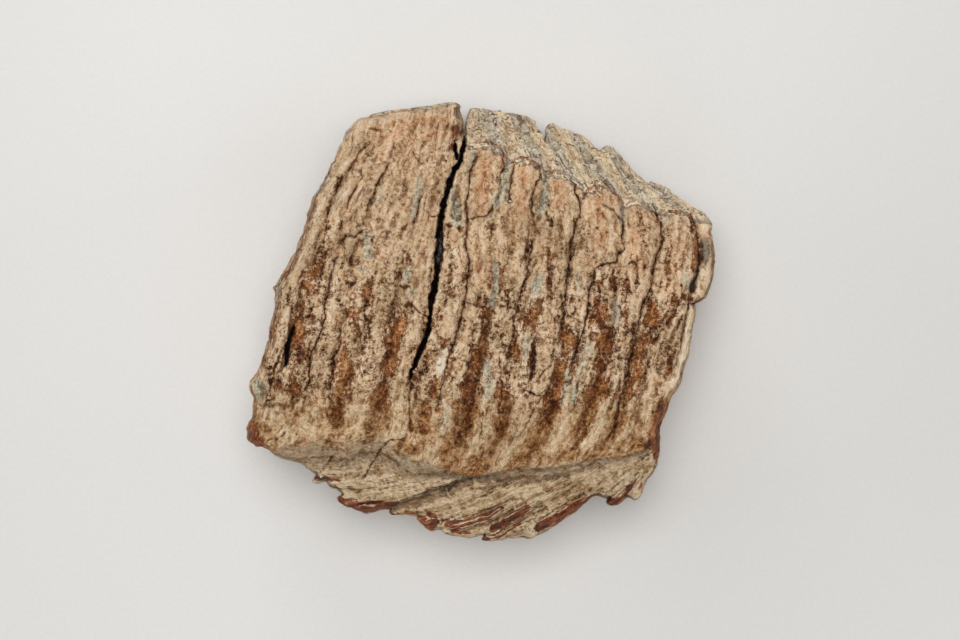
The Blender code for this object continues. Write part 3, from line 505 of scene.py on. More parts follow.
# grey-green cement: (x, y, half width, strength)
CEMENT = [
    [(366, 233, 3, 0.9), (368, 255, 5, 1.0)], [(362, 270, 2.5, 0.9), (368, 269, 2, 0.8)], [(381, 190, 2.5, 0.8), (377, 204, 2.5, 0.9)], [(407, 273, 5, 0.9), (404, 283, 3, 0.6)], [(407, 294, 3, 0.8), (414, 292, 3, 0.8)],
    [(496, 262, 4, 0.8), (496, 285, 3.4, 1.0), (491, 305, 4, 1.0)], [(540, 276, 4, 0.9), (535, 290, 7, 1.0)], [(527, 340, 5, 0.7), (524, 360, 4, 0.6)], [(616, 300, 3, 0.9), (617, 322, 4, 0.9)],
    [(453, 190, 3, 0.9), (456, 205, 6, 1.0), (457, 222, 6, 0.9)], [(508, 165, 4, 0.9), (503, 190, 5, 1.0), (496, 205, 4, 0.9)], [(544, 168, 4, 0.9), (546, 195, 5, 0.9), (540, 210, 5, 1.0)], [(584, 186, 4, 0.9), (584, 196, 3, 0.7)],
    [(622, 208, 3.4, 0.9), (623, 222, 3, 0.9)], [(663, 212, 4, 0.8), (667, 222, 3, 0.8)], [(578, 272, 3, 0.7), (580, 290, 3, 0.8)], [(684, 277, 4, 0.7), (691, 292, 4, 0.7)], [(474, 152, 4, 0.8), (470, 165, 3, 0.6)],
    [(420, 180, 5, 0.6), (415, 205, 4, 0.8), (411, 220, 4, 0.5)], [(340, 195, 4, 0.5), (333, 215, 3, 0.4)], [(345, 175, 3, 0.4)], [(487, 360, 4, 0.7), (489, 385, 5, 0.8), (487, 398, 4, 0.9)], [(588, 345, 5, 0.6), (580, 370, 4, 0.6), (572, 400, 5, 0.6)],
    [(258, 385, 7, 0.9), (260, 396, 6, 0.8)], [(447, 405, 5, 0.5), (443, 425, 5, 0.5)], [(568, 372, 4, 0.7), (562, 408, 4, 0.4)], [(330, 392, 3, 0.7)], [(654, 335, 3, 0.9)], [(433, 232, 2, 0.3)], [(360, 122, 8, 0.35), (395, 114, 6, 0.35), (445, 106, 4, 0.3)],
    [(281, 282, 5, 0.5), (278, 300, 3, 0.4)], [(400, 462, 8, 0.5), (430, 466, 6, 0.3)],
]
PALE = [
    [(691.5, 311, 3.0, 1.0), (688.5, 330, 4.0, 1.05), (684.5, 348, 4.4, 1.05), (679.5, 366, 4.0, 1.05), (673.5, 386, 3.0, 0.9)], [(704, 219, 4, 0.6), (705.5, 229, 4.4, 0.75)], [(702.5, 264, 1.5, 0.9), (701, 278, 1.7, 0.9), (697.5, 291, 2, 0.9)], [(708, 270, 2.6, 0.45), (706, 292, 2.6, 0.4)],
    [(445, 351, 3.4, 1.25), (443, 359, 4.4, 1.35), (440, 369, 5.0, 1.40)], [(434, 340, 3.2, 0.8), (432, 334, 2.4, 0.7)], [(443, 326, 2, 0.5)], [(575, 452, 3, 0.3)], [(603, 377, 2.2, 0.6), (606, 372, 2, 0.6)], [(548, 473, 2.4, 0.7), (541, 475, 2, 0.6)],
    [(350, 240, 3, 0.5)], [(363, 268, 1.6, 0.5)], [(606, 362, 2, 0.5)], [(268, 408, 5, 0.5)], [(652, 267, 1.6, 0.6)], [(570, 252, 1.6, 0.6)], [(442, 203, 1.4, 0.6)], [(271, 377, 1.6, 0.7)],
]
# rims and ledges of the root band: ridges (x, y, half width, height in mm)
RIMS = [
    [(338, 498, 3, 0.9), (347, 504, 3, 1.0), (358, 507, 4, 1.3), (368, 508, 4.5, 1.6), (378, 506, 4, 1.4), (390, 503, 3, 1.0), (405, 500, 3, 0.8), (425, 494, 3, 0.6), (448, 488, 3, 0.4)],
    [(392, 512, 2.5, 0.7), (412, 512, 3, 0.9), (424, 508, 3, 0.9), (445, 502, 3, 0.7), (470, 494, 3, 0.5)],
    [(421, 518, 3.5, 1.2), (430, 524, 5, 1.6), (438, 522, 4, 1.3)],
    [(443, 524, 3.5, 1.2), (455, 522, 3.6, 1.6), (470, 519, 3.6, 1.6), (485, 515, 3.4, 1.4), (500, 508, 3, 1.0), (516, 500, 3, 0.7), (540, 488, 3, 0.4)],
    [(445, 532, 2.5, 0.8), (468, 533, 3, 0.9), (490, 527, 3, 0.9), (505, 521, 3.4, 1.3), (518, 514, 3.6, 1.5), (527, 507, 3, 1.2), (545, 496, 3, 0.7), (570, 486, 3, 0.5)],
    [(484, 538, 2.5, 0.8), (500, 536, 3, 1.0), (512, 529, 3, 1.0), (528, 520, 3, 1.0)],
    [(530, 531, 6, 1.5), (537, 524, 5, 1.2)],
    [(537, 529, 3, 1.0), (548, 523, 4, 1.6), (560, 517, 4, 1.6), (572, 508, 3.4, 1.4), (583, 499, 3, 1.0), (600, 488, 3, 0.7), (630, 474, 3, 0.5)],
    [(609, 502, 3, 1.2), (619, 499, 4, 1.4), (628, 489, 4, 1.2), (641, 476, 3.4, 0.9), (652, 462, 3, 0.6)],
    [(634, 496, 3, 1.0), (641, 488, 3, 0.8)],
    [(315, 479, 3, 0.9), (322, 478, 2.6, 0.7)], [(330, 482, 3, 0.8), (345, 487, 3, 0.6)],
    [(250, 436, 5, 0.9), (262, 443, 4, 0.5)],
]
GLOSSY = [
    [(340, 499, 2.5, 0.9), (350, 504, 3, 0.9), (359, 507, 4.4, 1.2), (368, 506.5, 5.4, 1.2), (379, 505, 4.8, 1.2), (390, 504, 3, 1.0), (398, 503, 2, 0.6)],
    [(421, 519, 3.5, 1.1), (430, 526, 5, 1.2), (437, 522, 3, 0.9), (433, 516, 4, 0.6), (428, 511, 3, 0.5)], [(449, 524.5, 3.2, 1.1), (458, 524, 3.6, 1.2), (472, 521, 3.6, 1.2), (488, 515, 3.2, 1.1), (502, 508, 2.4, 0.8)],
    [(452, 531, 2, 0.7), (470, 533, 2.2, 0.5)], [(493, 528, 3.4, 1.1), (505, 521.5, 4.2, 1.2), (517, 514.5, 4.2, 1.2), (527, 507.5, 2.8, 1.0)], [(484, 539, 2, 0.9), (500, 536, 2, 0.7), (520, 523, 1.6, 0.6)],
    [(538, 528, 4, 1.1), (548, 522.5, 5.2, 1.2), (560, 516, 5.0, 1.2), (572, 508, 4.2, 1.1), (585, 499.5, 2.6, 0.9)], [(612, 502, 3.6, 1.0), (620, 499, 4, 1.0), (627, 490, 2.6, 0.9), (636, 480, 2, 0.5)], [(314, 479, 2, 1.0), (319, 478, 2, 0.9)],
    [(330, 480, 1.6, 0.6), (342, 480, 1.6, 0.5)], [(641, 487, 2, 0.6)], [(457, 131, 6, 0.5)], [(405, 512, 2, 0.5), (418, 512, 2, 0.5)], [(340, 503, 1.6, 0.6)],
    [(664, 406, 4, 0.6), (659, 425, 6, 0.9), (656, 442, 6, 0.9), (656, 458, 3, 0.7)], [(251, 429, 5, 0.8), (253, 441, 6, 1.0), (262, 445, 3, 0.7)], [(327, 173, 1.4, 0.35), (316, 192, 1.4, 0.4), (309, 212, 1.4, 0.4), (301, 238, 1.4, 0.35)],
]
# painted highlights: pale lines along the crests of the rods, (x, y, half width)
PAINTED_HIGHLIGHT_LINES = [
    [(453, 524.5, 0.4), (462, 523.5, 0.9), (474, 520.5, 1.0), (487, 515.5, 0.9), (500, 509, 0.5)],
    [(499, 521, 0.4), (509, 516, 0.8), (519, 510.5, 0.7), (526, 506, 0.3)],
    [(541, 521, 0.3), (549, 517, 0.7), (558, 512, 0.6), (570, 504.5, 0.4)],
    [(360, 506, 0.3), (366, 505.5, 1.0), (371, 505.5, 0.9), (376, 504.5, 0.3)],
    [(612, 499.5, 0.3), (619, 496.5, 0.7), (625, 490, 0.4)], [(427, 520, 0.4), (432, 518, 0.9), (436, 519, 0.4)],
    [(488, 537.5, 0.3), (500, 534.5, 0.6), (512, 527, 0.3)],
]
# dark stains, and painted shadow along the ledges of the root band and in the recess under the crease: (x, y, half
# width, strength)
BLOTCH_AND_SHADOW = [
    [(705, 241, 4.5, 1.5), (706, 250, 6, 1.7), (705, 259, 5, 1.4), (703, 266, 2.5, 0.9)], [(699, 258, 2.2, 1.2), (697, 272, 3, 1.3), (693, 280, 4, 1.3), (692, 292, 3, 1.0)],
    # in this line the first stroke is a stain; the strokes from (392, 506), (498, 480), (462, 483) and (345, 490) are
    # painted shadow along the ledges and in the recess under the crease
    [(712, 240, 1.5, 0.9), (713.5, 258, 1.5, 0.9), (711, 280, 1.5, 0.8), (705, 299, 1.8, 0.9), (694, 304, 1.6, 0.8)], [(392, 506, 3, 0.6), (410, 500, 4, 0.8), (430, 492, 4, 0.8), (450, 487, 3.4, 0.8), (470, 479, 3.4, 0.7)], [(498, 480, 6.0, 0.72), (522, 478, 6.6, 0.72), (550, 477.5, 6.4, 0.64), (578, 472, 5.4, 0.50), (604, 466, 4.2, 0.42), (630, 459, 3, 0.35)], [(462, 483, 3, 0.5), (490, 482, 3, 0.5)], [(345, 490, 2.5, 0.4), (372, 486, 2.5, 0.4)],
    # the first stroke of this line, along the crease, is painted shadow; the rest are stains
    [(440, 472, 3, 0.5), (470, 478, 4, 0.8), (495, 476, 3, 0.7)], [(487, 396, 4, 0.7)], [(533, 275, 4, 0.5), (528, 283, 3, 0.6)], [(503, 185, 3, 0.5)], [(438, 245, 5, 0.6), (440, 262, 5, 0.6)], [(690, 282, 4, 0.7)],
    [(581, 280, 2.5, 0.5)], [(658, 430, 5, 0.5)], [(592, 508, 3, 0.3)], [(566, 163, 3, 0.5)], [(475, 148, 3, 0.4)], [(330, 196, 3, 0.4)],
]


# warmer or pinker than the rest, and darker enamel
WARM = [
    [(390, 125, 26, 0.5), (435, 122, 20, 0.6)], [(704, 216, 5, 1.0), (706, 235, 5, 0.9)], [(560, 178, 12, 0.8), (560, 200, 10, 0.6)], [(486, 160, 9, 0.8), (484, 210, 9, 0.6)],
    [(602, 192, 11, 0.7), (600, 235, 11, 0.6)], [(524, 170, 9, 0.7), (520, 220, 9, 0.6)], [(640, 212, 9, 0.5), (638, 270, 10, 0.5)], [(677, 372, 4, 1.0), (673, 388, 4, 0.8)],
    [(478, 270, 12, 0.4)], [(680, 240, 9, 0.5), (672, 285, 9, 0.4)], [(341, 350, 4, 0.9), (340, 392, 5, 0.9)], [(382, 388, 6, 1.0), (374, 405, 6, 1.0)], [(608, 350, 6, 0.6), (602, 382, 7, 0.8)],
    [(578, 420, 6, 0.7), (562, 448, 6, 0.5)], [(320, 262, 8, 0.8)], [(428, 526, 5, 0.7)], [(600, 432, 6, 0.3)], [(365, 330, 8, 0.3)],
]
DARK = [
    [(571, 333, 7, 1.0), (582, 345, 9, 1.0), (576, 356, 6, 0.8)], [(535, 348, 4.5, 1.0), (533, 372, 4.5, 1.0)], [(660, 405, 7, 1.0), (656, 425, 9, 1.0), (650, 445, 8, 1.0)],
    [(252, 430, 7, 1.0), (256, 441, 6, 1.0)], [(470, 382, 8, 0.7), (468, 425, 8, 0.6)], [(556, 385, 5, 0.5), (546, 430, 6, 0.6)], [(529, 250, 4, 1.0), (527, 268, 4, 0.9)], [(657, 212, 4, 0.9), (661, 226, 4, 0.8)],
    [(573, 235, 4, 0.8), (572, 258, 3.5, 0.8)], [(445, 452, 8, 0.5), (470, 464, 8, 0.6), (520, 462, 8, 0.5)], [(504, 415, 5, 0.6), (500, 440, 6, 0.6)], [(420, 425, 5, 0.5)], [(334, 416, 6, 0.4)], [(387, 345, 8, 0.3)],
    [(456, 128, 6, 0.7)], [(372, 141, 5, 0.4)], [(617, 350, 6, 0.6)], [(650, 312, 6, 0.5)], [(479, 355, 5, 0.5)], [(366, 290, 4, 0.4)], [(695, 250, 3, 0.8)],
]
# ledges: a line, the drop past it in mm, and the run over which the ground comes back
LEDGES = [
    ([(386, 508), (395, 503), (405, 499), (420, 494), (435, 488), (445, 485), (456, 480), (472, 477)], 2.3, 15),
    ([(441, 521), (452, 520), (470, 516), (486, 510), (500, 504), (520, 495)], 1.1, 7),
    ([(488, 528), (500, 524), (510, 518), (522, 509), (540, 500)], 1.4, 8),
    ([(446, 530), (465, 529), (482, 524), (497, 516), (512, 507)], 1.5, 9),
    ([(484, 536), (500, 532), (512, 524), (526, 514), (545, 505)], 1.6, 9),
    ([(606, 498), (616, 496), (626, 487), (638, 475), (652, 460)], 1.4, 8),
    ([(632, 494), (640, 484), (650, 472)], 1.2, 6),
    ([(318, 474), (330, 479), (345, 484), (362, 488)], 1.1, 9),
    ([(495, 479), (520, 474), (548, 474), (575, 468), (600, 462)], 0.9, 9),
    ([(470, 487), (500, 483), (530, 480), (560, 474)], 0.7, 8),
    ([(270, 459), (290, 464), (310, 470)], 0.8, 7),
    # flakes on the face
    ([(527, 336), (545, 337)], 0.8, 10), ([(516, 276), (530, 300), (545, 300)], 0.4, 8),
    ([(343, 238), (352, 237), (361, 233)], -0.7, 8), ([(597, 392), (610, 386)], 0.5, 7),
    ([(484, 143), (496, 146), (503, 151)], -0.8, 6), ([(513, 158), (528, 159), (541, 165)], -0.9, 6),
    ([(549, 172), (562, 171), (573, 178)], -0.8, 6), ([(590, 187), (603, 184), (615, 191)], -0.8, 6),
    ([(629, 203), (641, 202), (649, 207)], -0.7, 6), ([(667, 213), (680, 212), (691, 217)], -0.7, 6),
    ([(392, 372), (402, 380), (414, 384)], 0.6, 9), ([(366, 408), (378, 414), (392, 416)], 0.6, 8),
    ([(262, 404), (275, 402), (290, 404)], 0.7, 9), ([(268, 372), (280, 374), (292, 380)], -0.8, 8),
    ([(440, 250), (447, 270), (455, 290)], 0.3, 5), ([(560, 345), (575, 342), (590, 340)], 0.5, 7),
    ([(605, 368), (618, 372)], 0.5, 6), ([(432, 436), (446, 434)], 0.4, 7), ([(352, 392), (366, 390)], 0.4, 6),
]


def interp_points(points, v):
    return np.interp(v, [p[0] for p in points], [p[1] for p in points]).astype(F)


# plate number over the sheet, one more for each plate to the right
ROWS = (Y0 + STEP * np.arange(NY)).astype(F)
_at = np.array([np.interp(ROWS, [p[1] for p in g], [p[0] for p in g]) for g in GUIDES])
PLATE = np.stack([np.interp(X[j], _at[:, j], np.arange(len(GUIDES))) for j in range(NY)]).astype(F)
U = PLATE * 38.0
BELOW = Y - interp_points(CREASE, X[0])[None, :] + 1.6 * noise2(X / 9, Y / 9, 61)
EASE = smooth(470, 380, X)  # on the left the face rolls over into the band
BAND = smooth(0.0, 1.0, (BELOW + 2 + 12 * EASE) / (5 + 26 * EASE))
# along the plates on the face, and along the sweep of the root band below it
SWEEP = np.interp(X[0], [230, 330, 400, 450, 500, 550, 600, 660, 730], [-0.15, 0.05, 0.22, 0.32, 0.46, 0.6, 0.68, 0.9, 1.0])
ACROSS = Y + (np.cumsum(SWEEP) * STEP)[None, :].astype(F)
UA = U * (1 - BAND) + ACROSS * BAND
VA = Y * (1 - BAND) + (X - SWEEP[None, :].astype(F) * Y) * BAND


def painted(strokes, edge=soft_edge):
    field = np.zeros((NY, NX), F)
    for s in strokes:
        draw(field, s, edge)
    return field


furrow = painted(FURROWS)
swelling = painted(SWELLINGS)
bare = painted(BARE)
dusty = painted(DUSTY)
cement = painted(CEMENT, hard_edge)
pale = painted(PALE, hard_edge)
rim = painted(RIMS)
glossy = painted(GLOSSY, hard_edge)
blotch_and_shadow = painted(BLOTCH_AND_SHADOW)
warm = painted(WARM)
dark = painted(DARK)


def trace(over, away, points, widths):
    """Signed distance to a line over its half width, and the plain distance, where this line is the nearest."""
    for (ax, ay, aw), (bx, by, bw) in zip(points, points[1:]):
        w = window(ax, ay, bx, by, 9)
        x, y = XJ[w], YJ[w]
        dx, dy = bx - ax, by - ay
        t = np.clip(((x - ax) * dx + (y - ay) * dy) / max(dx * dx + dy * dy, 1e-6), 0, 1)
        px, py = x - ax - t * dx, y - ay - t * dy
        d = np.hypot(px, py)
        side = np.where(px * dy - py * dx >= 0, 1.0, -1.0)
        half = np.maximum((aw + (bw - aw) * t) * widths[w], 0.12)
        near = d < away[w]
        over[w] = np.where(near, side * np.minimum(d / half, 20.0), over[w])
        away[w] = np.where(near, d, away[w])


crack_depth = np.zeros((NY, NX), F)
crack_mark = np.zeros((NY, NX), F)
crack_over = np.full((NY, NX), 20.0, F)
crack_away = np.full((NY, NX), 9.0, F)
broken = 1.0 + 0.9 * noise2(X / 4.2, Y / 6.0, 44)
uneven = np.clip(0.74 + 0.85 * noise2(X / 8.0, Y / 8.0, 45) + 0.35 * noise2(X / 3.0, Y / 3.0, 46), 0.10, 1.45)
for depth, points in CRACKS:
    if depth > 5:
        draw(crack_depth, [(x, y, 0.80 * w + 0.1, depth) for x, y, w in points], hard_edge, jagged=True)
        draw(crack_mark, [(x, y, max(0.78 * w, 0.75), 1.0) for x, y, w in points], hard_edge, jagged=True)
    else:
        draw(crack_depth, [(x, y, max(0.95 * w, 1.15), 0.46 * depth) for x, y, w in points], soft_edge, jagged=True)
        trace(crack_over, crack_away, [(x, y, 0.43 * w) for x, y, w in points], uneven)
crack_depth *= np.clip(0.7 + 0.3 * broken, 0.3, 1.2)
# rubble wedged in the wide crack
rubble = painted([[(444, 232, 4, 1.0), (442, 248, 4.5, 1.0), (439, 262, 4, 0.8)], [(449, 172, 2.5, 0.7), (453, 180, 2, 0.6)], [(420, 352, 2, 0.5)]], hard_edge)
lump1, lump2, lump_tag = cells2(X / 4.6, Y / 4.6, 47)
crack_depth = np.where(crack_depth > 3.0, crack_depth - rubble * (crack_depth - 3.2) * (0.45 + 0.55 * lump_tag), crack_depth)
arc_over = np.full((NY, NX), 20.0, F)
arc_away = np.full((NY, NX), 9.0, F)
for points in ARCS:
    trace(arc_over, arc_away, points, np.clip(uneven + 0.25, 0.4, 1.5))
# lines of painted highlight along the rods
painted_highlight_over = np.full((NY, NX), 20.0, F)
painted_highlight_away = np.full((NY, NX), 9.0, F)
for points in PAINTED_HIGHLIGHT_LINES:
    trace(painted_highlight_over, painted_highlight_away, points, np.clip(uneven + 0.15, 0.3, 1.3))
ledge = np.zeros((NY, NX), F)
for points, height, run in LEDGES:
    step_down(ledge, points, height, run)

# ------------------------------------------------------------------ relief of the upper face
grain = fbm2(UA / 5.0, VA / 19.0, 21, 3, 0.55)
lumps = fbm2(X / 17.0, Y / 17.0, 25, 2)
fine = fbm2(X / 4.2, Y / 4.2, 31, 2, 0.6)
streak = noise2(UA / 2.6, VA / 12.0, 35)
rods = 1 - np.abs(noise2(UA / 4.4, VA / 46.0, 37)) * 2.6  # long rounded bars with sharp gaps
LOW_SOFT = smooth(375, 425, Y) * (1 - BAND)
coat = (
    0.40
    + 0.30 * smooth(330, 200, Y)
    + 0.46 * grain * (1 - 0.5 * LOW_SOFT)
    + 0.30 * fine * (1 - 0.5 * LOW_SOFT)
    + 0.22 * lumps
    - 0.02 * LOW_SOFT
    - 0.06 * smooth(300, 370, Y) * (1 - BAND)
    + 0.80 * dusty
    - 0.98 * bare * (1 + 0.5 * noise2(X / 8.0, Y / 12.0, 61)) * (0.90 + 0.06 * smooth(240, 330, Y) - 0.15 * smooth(310, 370, Y) - 0.06 * LOW_SOFT) * (1 - 0.30 * smooth(395, 435, Y) * (Y < 470) * (X > 300) * (X < 648))
    + 0.8 * pale
    + 0.7 * cement
    - 0.34 * smooth(0.0, 0.5, fbm2(X / 15.0, Y / 24.0, 63, 3)) * smooth(215, 300, Y) * (1 - BAND)
    - 0.10 * furrow * smooth(150, 240, Y)
    - 0.06 * furrow * smooth(300, 420, Y)
    + 0.36 * BAND
    - 1.0 * glossy
)
up = smooth(-0.10, 0.12, coat)
d1, d2, tag = cells2(UA / 10.0 + 0.35 * fine, VA / 22.0 + 0.3 * grain, 51)
scab = (tag - 0.5) * smooth(0.02, 0.14, d2 - d1)
e1, e2, etag = cells2(UA / 5.0 + 0.45 * fine, VA / 8.5 + 0.4 * grain, 53)
chip = (etag - 0.5) * smooth(0.02, 0.18, e2 - e1)
p1, p2, ptag = cells2(X / 3.6, Y / 3.6, 71)
pits = (1 - smooth(0.12, 0.36, p1)) * (ptag > 0.55)
seam = np.abs(PLATE + 0.05 * noise2(X / 12, Y / 22, 57) - np.rint(PLATE + 0.05 * noise2(X / 12, Y / 22, 57)))
seam = np.exp(-((seam / 0.11) ** 2)) * (1 - BAND)

face_u, face_v = (X - 475.0) / 235.0, (Y - 300.0) / 190.0
DOME = THICK - 1.2 - 5.5 * face_u**2 - 3.5 * face_v**2
on_band = smooth(0, 8, BELOW)
relief = (
    -0.80 * furrow * (0.66 + 0.34 * smooth(190, 330, Y))
    + 0.55 * swelling
    + 0.42 * up
    + (0.32 - 0.20 * on_band) * grain
    + 0.20 * fine
    + 0.52 * scab * (1 - 0.6 * on_band)
    + 0.42 * chip * (1 - 0.5 * on_band)
    + 0.16 * streak
    + 0.30 * lumps
    - 0.55 * seam * smooth(120, 420, Y)
    - 0.30 * pits * (1 - 0.6 * up)
    + on_band * (0.26 * smooth(0.0, 1.0, rods) - 0.14)
    + 1.25 * rim
    - ledge
)
# low places
LOW = painted([
    [(252, 382, 9, 3.2), (258, 392, 9, 3.2)], [(456, 190, 6, 0.9), (457, 215, 6, 0.9)], [(443, 352, 4, 0.5), (440, 368, 5, 0.5)],
    [(457, 131, 8, 0.7)], [(704, 225, 7, 1.6), (706, 250, 8, 2.0), (705, 285, 8, 2.2)], [(690, 318, 6, 3.0), (686, 345, 6, 3.2), (678, 375, 5, 2.6)],
], hard_edge)
TOP = DOME + relief - LOW
drop = interp_points([(236, 2.0), (330, 2.6), (420, 3.6), (500, 5.0), (640, 4.6), (720, 3.0)], X[0])[None, :]
TOP -= drop * smooth(-3.5, 4.5, BELOW) * (1 - 0.35 * smooth(14, 50, BELOW)) + 0.215 * np.maximum(BELOW - 2, 0)
# ribs end in rounded lower ends above the crease
TOP -= 1.5 * smooth(-16, 0, BELOW) ** 2 * (1 - BAND)
ABOVE = interp_points(CHEWING_EDGE, X[0])[None, :] - Y
TOP -= 1.1 * smooth(-9, 0, ABOVE) * (X > 466)
TOP -= crack_depth
# height of the face without its cracks, for telling wall from face
SKIN = TOP + crack_depth

# ------------------------------------------------------------------ the solid
GSTEP = 1.25
gx = np.arange(238.0, 724.0, GSTEP).astype(F)
gy = np.arange(93.0, 551.0, GSTEP).astype(F)
gz = np.concatenate([np.arange(-0.84, 74.0, 0.42)]).astype(F)
GX, GY = np.meshgrid(gx, gy)


def outline_distance():
    """Signed distance to the outline over the grid, and the place along it of the nearest point."""
    pts = np.array(OUTLINE, F)
    nxt = np.roll(pts, -1, 0)
    seg = np.hypot(*(nxt - pts).T)
    run = np.concatenate([[0], np.cumsum(seg)])[:-1]
    best = np.full(GX.shape, 1e9, F)
    place = np.zeros(GX.shape, F)
    inside = np.zeros(GX.shape, bool)
    wx = GX + 0.8 * noise2(GX / 5, GY / 5, 81)
    wy = GY + 0.8 * noise2(GX / 5, GY / 5, 82)
    for (ax, ay), (bx, by), r, length in zip(pts, nxt, run, seg):
        dx, dy = bx - ax, by - ay
        t = np.clip(((wx - ax) * dx + (wy - ay) * dy) / max(dx * dx + dy * dy, 1e-9), 0, 1)
        d = np.hypot(wx - ax - t * dx, wy - ay - t * dy)
        near = d < best
        best = np.where(near, d, best)
        place = np.where(near, r + t * length, place)
        if ay != by:
            crosses = ((ay > wy) != (by > wy)) & (wx < (bx - ax) * (wy - ay) / (by - ay) + ax)
            inside ^= crosses
    return np.where(inside, -best, best), place, pts, run, float(seg.sum())


DIST, PLACE, OPTS, ORUN, OLEN = outline_distance()
# rows of the side table: one for each unit along the outline
rows = np.arange(0, int(OLEN) + 1).astype(F)
ox = np.interp(rows, np.append(ORUN, OLEN), np.append(OPTS[:, 0], OPTS[0, 0])).astype(F)
oy = np.interp(rows, np.append(ORUN, OLEN), np.append(OPTS[:, 1], OPTS[0, 1])).astype(F)


def stations(column):
    """A station value for each row of the table, blended along the outline."""
    w = np.zeros(len(rows))
    v = np.zeros(len(rows))
    for s in STATIONS:
        k = 1.0 / (np.hypot(ox - s[0], oy - s[1]) + 5.0) ** 3.2
        w += k
        v += k * s[column]
    v /= w
    kernel = np.hanning(9)
    kernel /= kernel.sum()
    return np.convolve(np.pad(v, 4, mode="wrap"), kernel, "valid").astype(F)


wide, slope, tuck = stations(2), stations(3), stations(4)
at_root = smooth(438, 492, oy)
at_chew = (1 - smooth(120, 205, oy - 0.28 * np.maximum(ox - 480, 0))) * smooth(330, 350, ox)
at_chew = np.maximum(at_chew, ((ox > 464) & (ox < 700) & (oy < 212)).astype(F))
at_end = np.clip(1 - at_root - at_chew, 0, 1)
Z2 = gz[None, :]
R_X, R_Y = ox[:, None], oy[:, None]
level = wide[:, None]
v_up = np.clip((Z2 - level) / np.maximum(THICK - 5.0 - level, 4.0), 0, 1.6)
v_dn = np.clip((level - Z2) / np.maximum(level, 4.0), 0, 1.2)
power = 1.9 - 0.85 * at_root[:, None]
inset = slope[:, None] * v_up**power + tuck[:, None] * (1 - np.cos(np.clip(v_dn, 0, 1) * math.pi / 2)) + 6 * np.maximum(v_dn - 0.85, 0)
inset = inset * UNIT
body = fbm3(R_X / 40, R_Y / 40, Z2 / 12, 91, 2)
rough = fbm3(R_X / 12, R_Y / 12, Z2 / 3.6, 95, 3, 0.55)
AT_ROOT = np.array([np.interp(470, [p[1] for p in g], [p[0] for p in g]) for g in GUIDES])
wall_phase = np.interp(np.clip(ox + 0.9 * np.maximum(oy - 470, 0), 233, 728), AT_ROOT, np.arange(len(GUIDES))).astype(F)[:, None]
wall_phase = wall_phase + 0.16 * noise3(R_X / 60, R_Y / 60, Z2 / 9, 97)
plate_wall = np.abs(2 * (wall_phase - np.floor(wall_phase)) - 1)  # one between plates, zero on a plate
ragged = noise3(np.floor(wall_phase) * 7.3, 0.5, Z2 / 6.0, 99) * 1.6
root_shape = 3.4 * smooth(0.45, 0.95, plate_wall) + ragged + 0.9 * smooth(0.75, 0.35, plate_wall) * smooth(0.0, 0.3, plate_wall)
flute_y = R_Y + 0.15 * R_X
flute = 0.5 - 0.5 * np.cos(2 * math.pi * (Z2 / 9.6 + 0.22 * noise3(flute_y / 30, 0.3, Z2 / 14, 101)))
end_shape = 1.5 * flute**3 + 0.5 * noise3(flute_y / 16, R_X / 30, Z2 / 5, 103)
under = smooth(0.0, 0.25, v_dn)
above = smooth(0.0, 0.5, v_up)
side_shape = (
    0.9 * body * (1 - at_chew[:, None])
    + 0.55 * rough
    + root_shape * at_root[:, None] * under
    + end_shape * at_end[:, None] * (0.35 + 0.65 * under) * (1 - above)
)
SIDE = (inset + side_shape * (0.25 + 0.75 * np.maximum(under, 0.35 * above))).astype(F)

# worn chewing end: plates run down through the thickness and lean to the left as they go down
edge_x = gx
e_y = interp_points(CHEWING_EDGE, gx)
f_y = interp_points(FAR_EDGE, gx)
ZF, ZO = 65.0, 9.0
LEAN = ([440, 470, 490, 520, 545, 600, 649, 690, 725], [6, 12, 20, 26, 30, 48, 46, 42, 40])
lean = np.interp(gx, *LEAN).astype(F)
fall = (ZF - gz)[None, :] / (ZF - ZO)
face_x = gx[:, None] + lean[:, None] * np.clip(fall, -0.1, 1.2)
face_x = face_x + 1.6 * noise3(gx[:, None] / 30, 0.7, gz[None, :] / 7, 111)
edge_plates = np.array([np.interp(180, [p[1] for p in g], [p[0] for p in g]) for g in GUIDES])
end_phase = np.interp(face_x, edge_plates, np.arange(len(GUIDES))).astype(F)
across = np.abs(2 * (end_phase - np.floor(end_phase)) - 1)  # one in the cement, zero in the middle of a plate
run_x, run_z = face_x / 5.5, gz[None, :] / 7.0 + 0 * face_x
c1, c2, ctag = cells2(run_x + 0.4 * noise2(run_x * 2, run_z * 2, 118), run_z + 0.4 * noise2(run_x * 2, run_z * 2, 119), 120)
patchy = np.clip(0.5 + 0.9 * noise3(gx[:, None] / 26, 0.9, gz[None, :] / 9, 121), 0, 1)
worn = patchy * (0.50 * smooth(0.60, 0.76, across) - 0.40 * np.exp(-(((across - 0.52) / 0.09) ** 2)) + 0.20 * smooth(0.42, 0.1, across))
worn = worn + 0.62 * fbm3(gx[:, None] / 11, 0.2, gz[None, :] / 4.0, 113, 3, 0.6) + 0.35 * noise3(end_phase * 2.3, 0.4, gz[None, :] / 10, 117)
worn = worn + 1.2 * (ctag - 0.5) * smooth(0.02, 0.16, c2 - c1)
left_block = smooth(470, 458, gx)[:, None]
line_y = e_y[:, None] + (f_y - e_y)[:, None] * np.clip(fall, -0.3, 1.3)
left_y = 100.0 + 7.0 * np.clip(fall, -0.1, 1.2)
END = (line_y * (1 - left_block) + left_y * left_block).astype(F)
END_SHAPE = (worn * (1 - 0.6 * left_block)).astype(F)
slant = np.cos(np.arctan2((e_y - f_y) * UNIT, ZF - ZO))[:, None] * (1 - left_block) + left_block

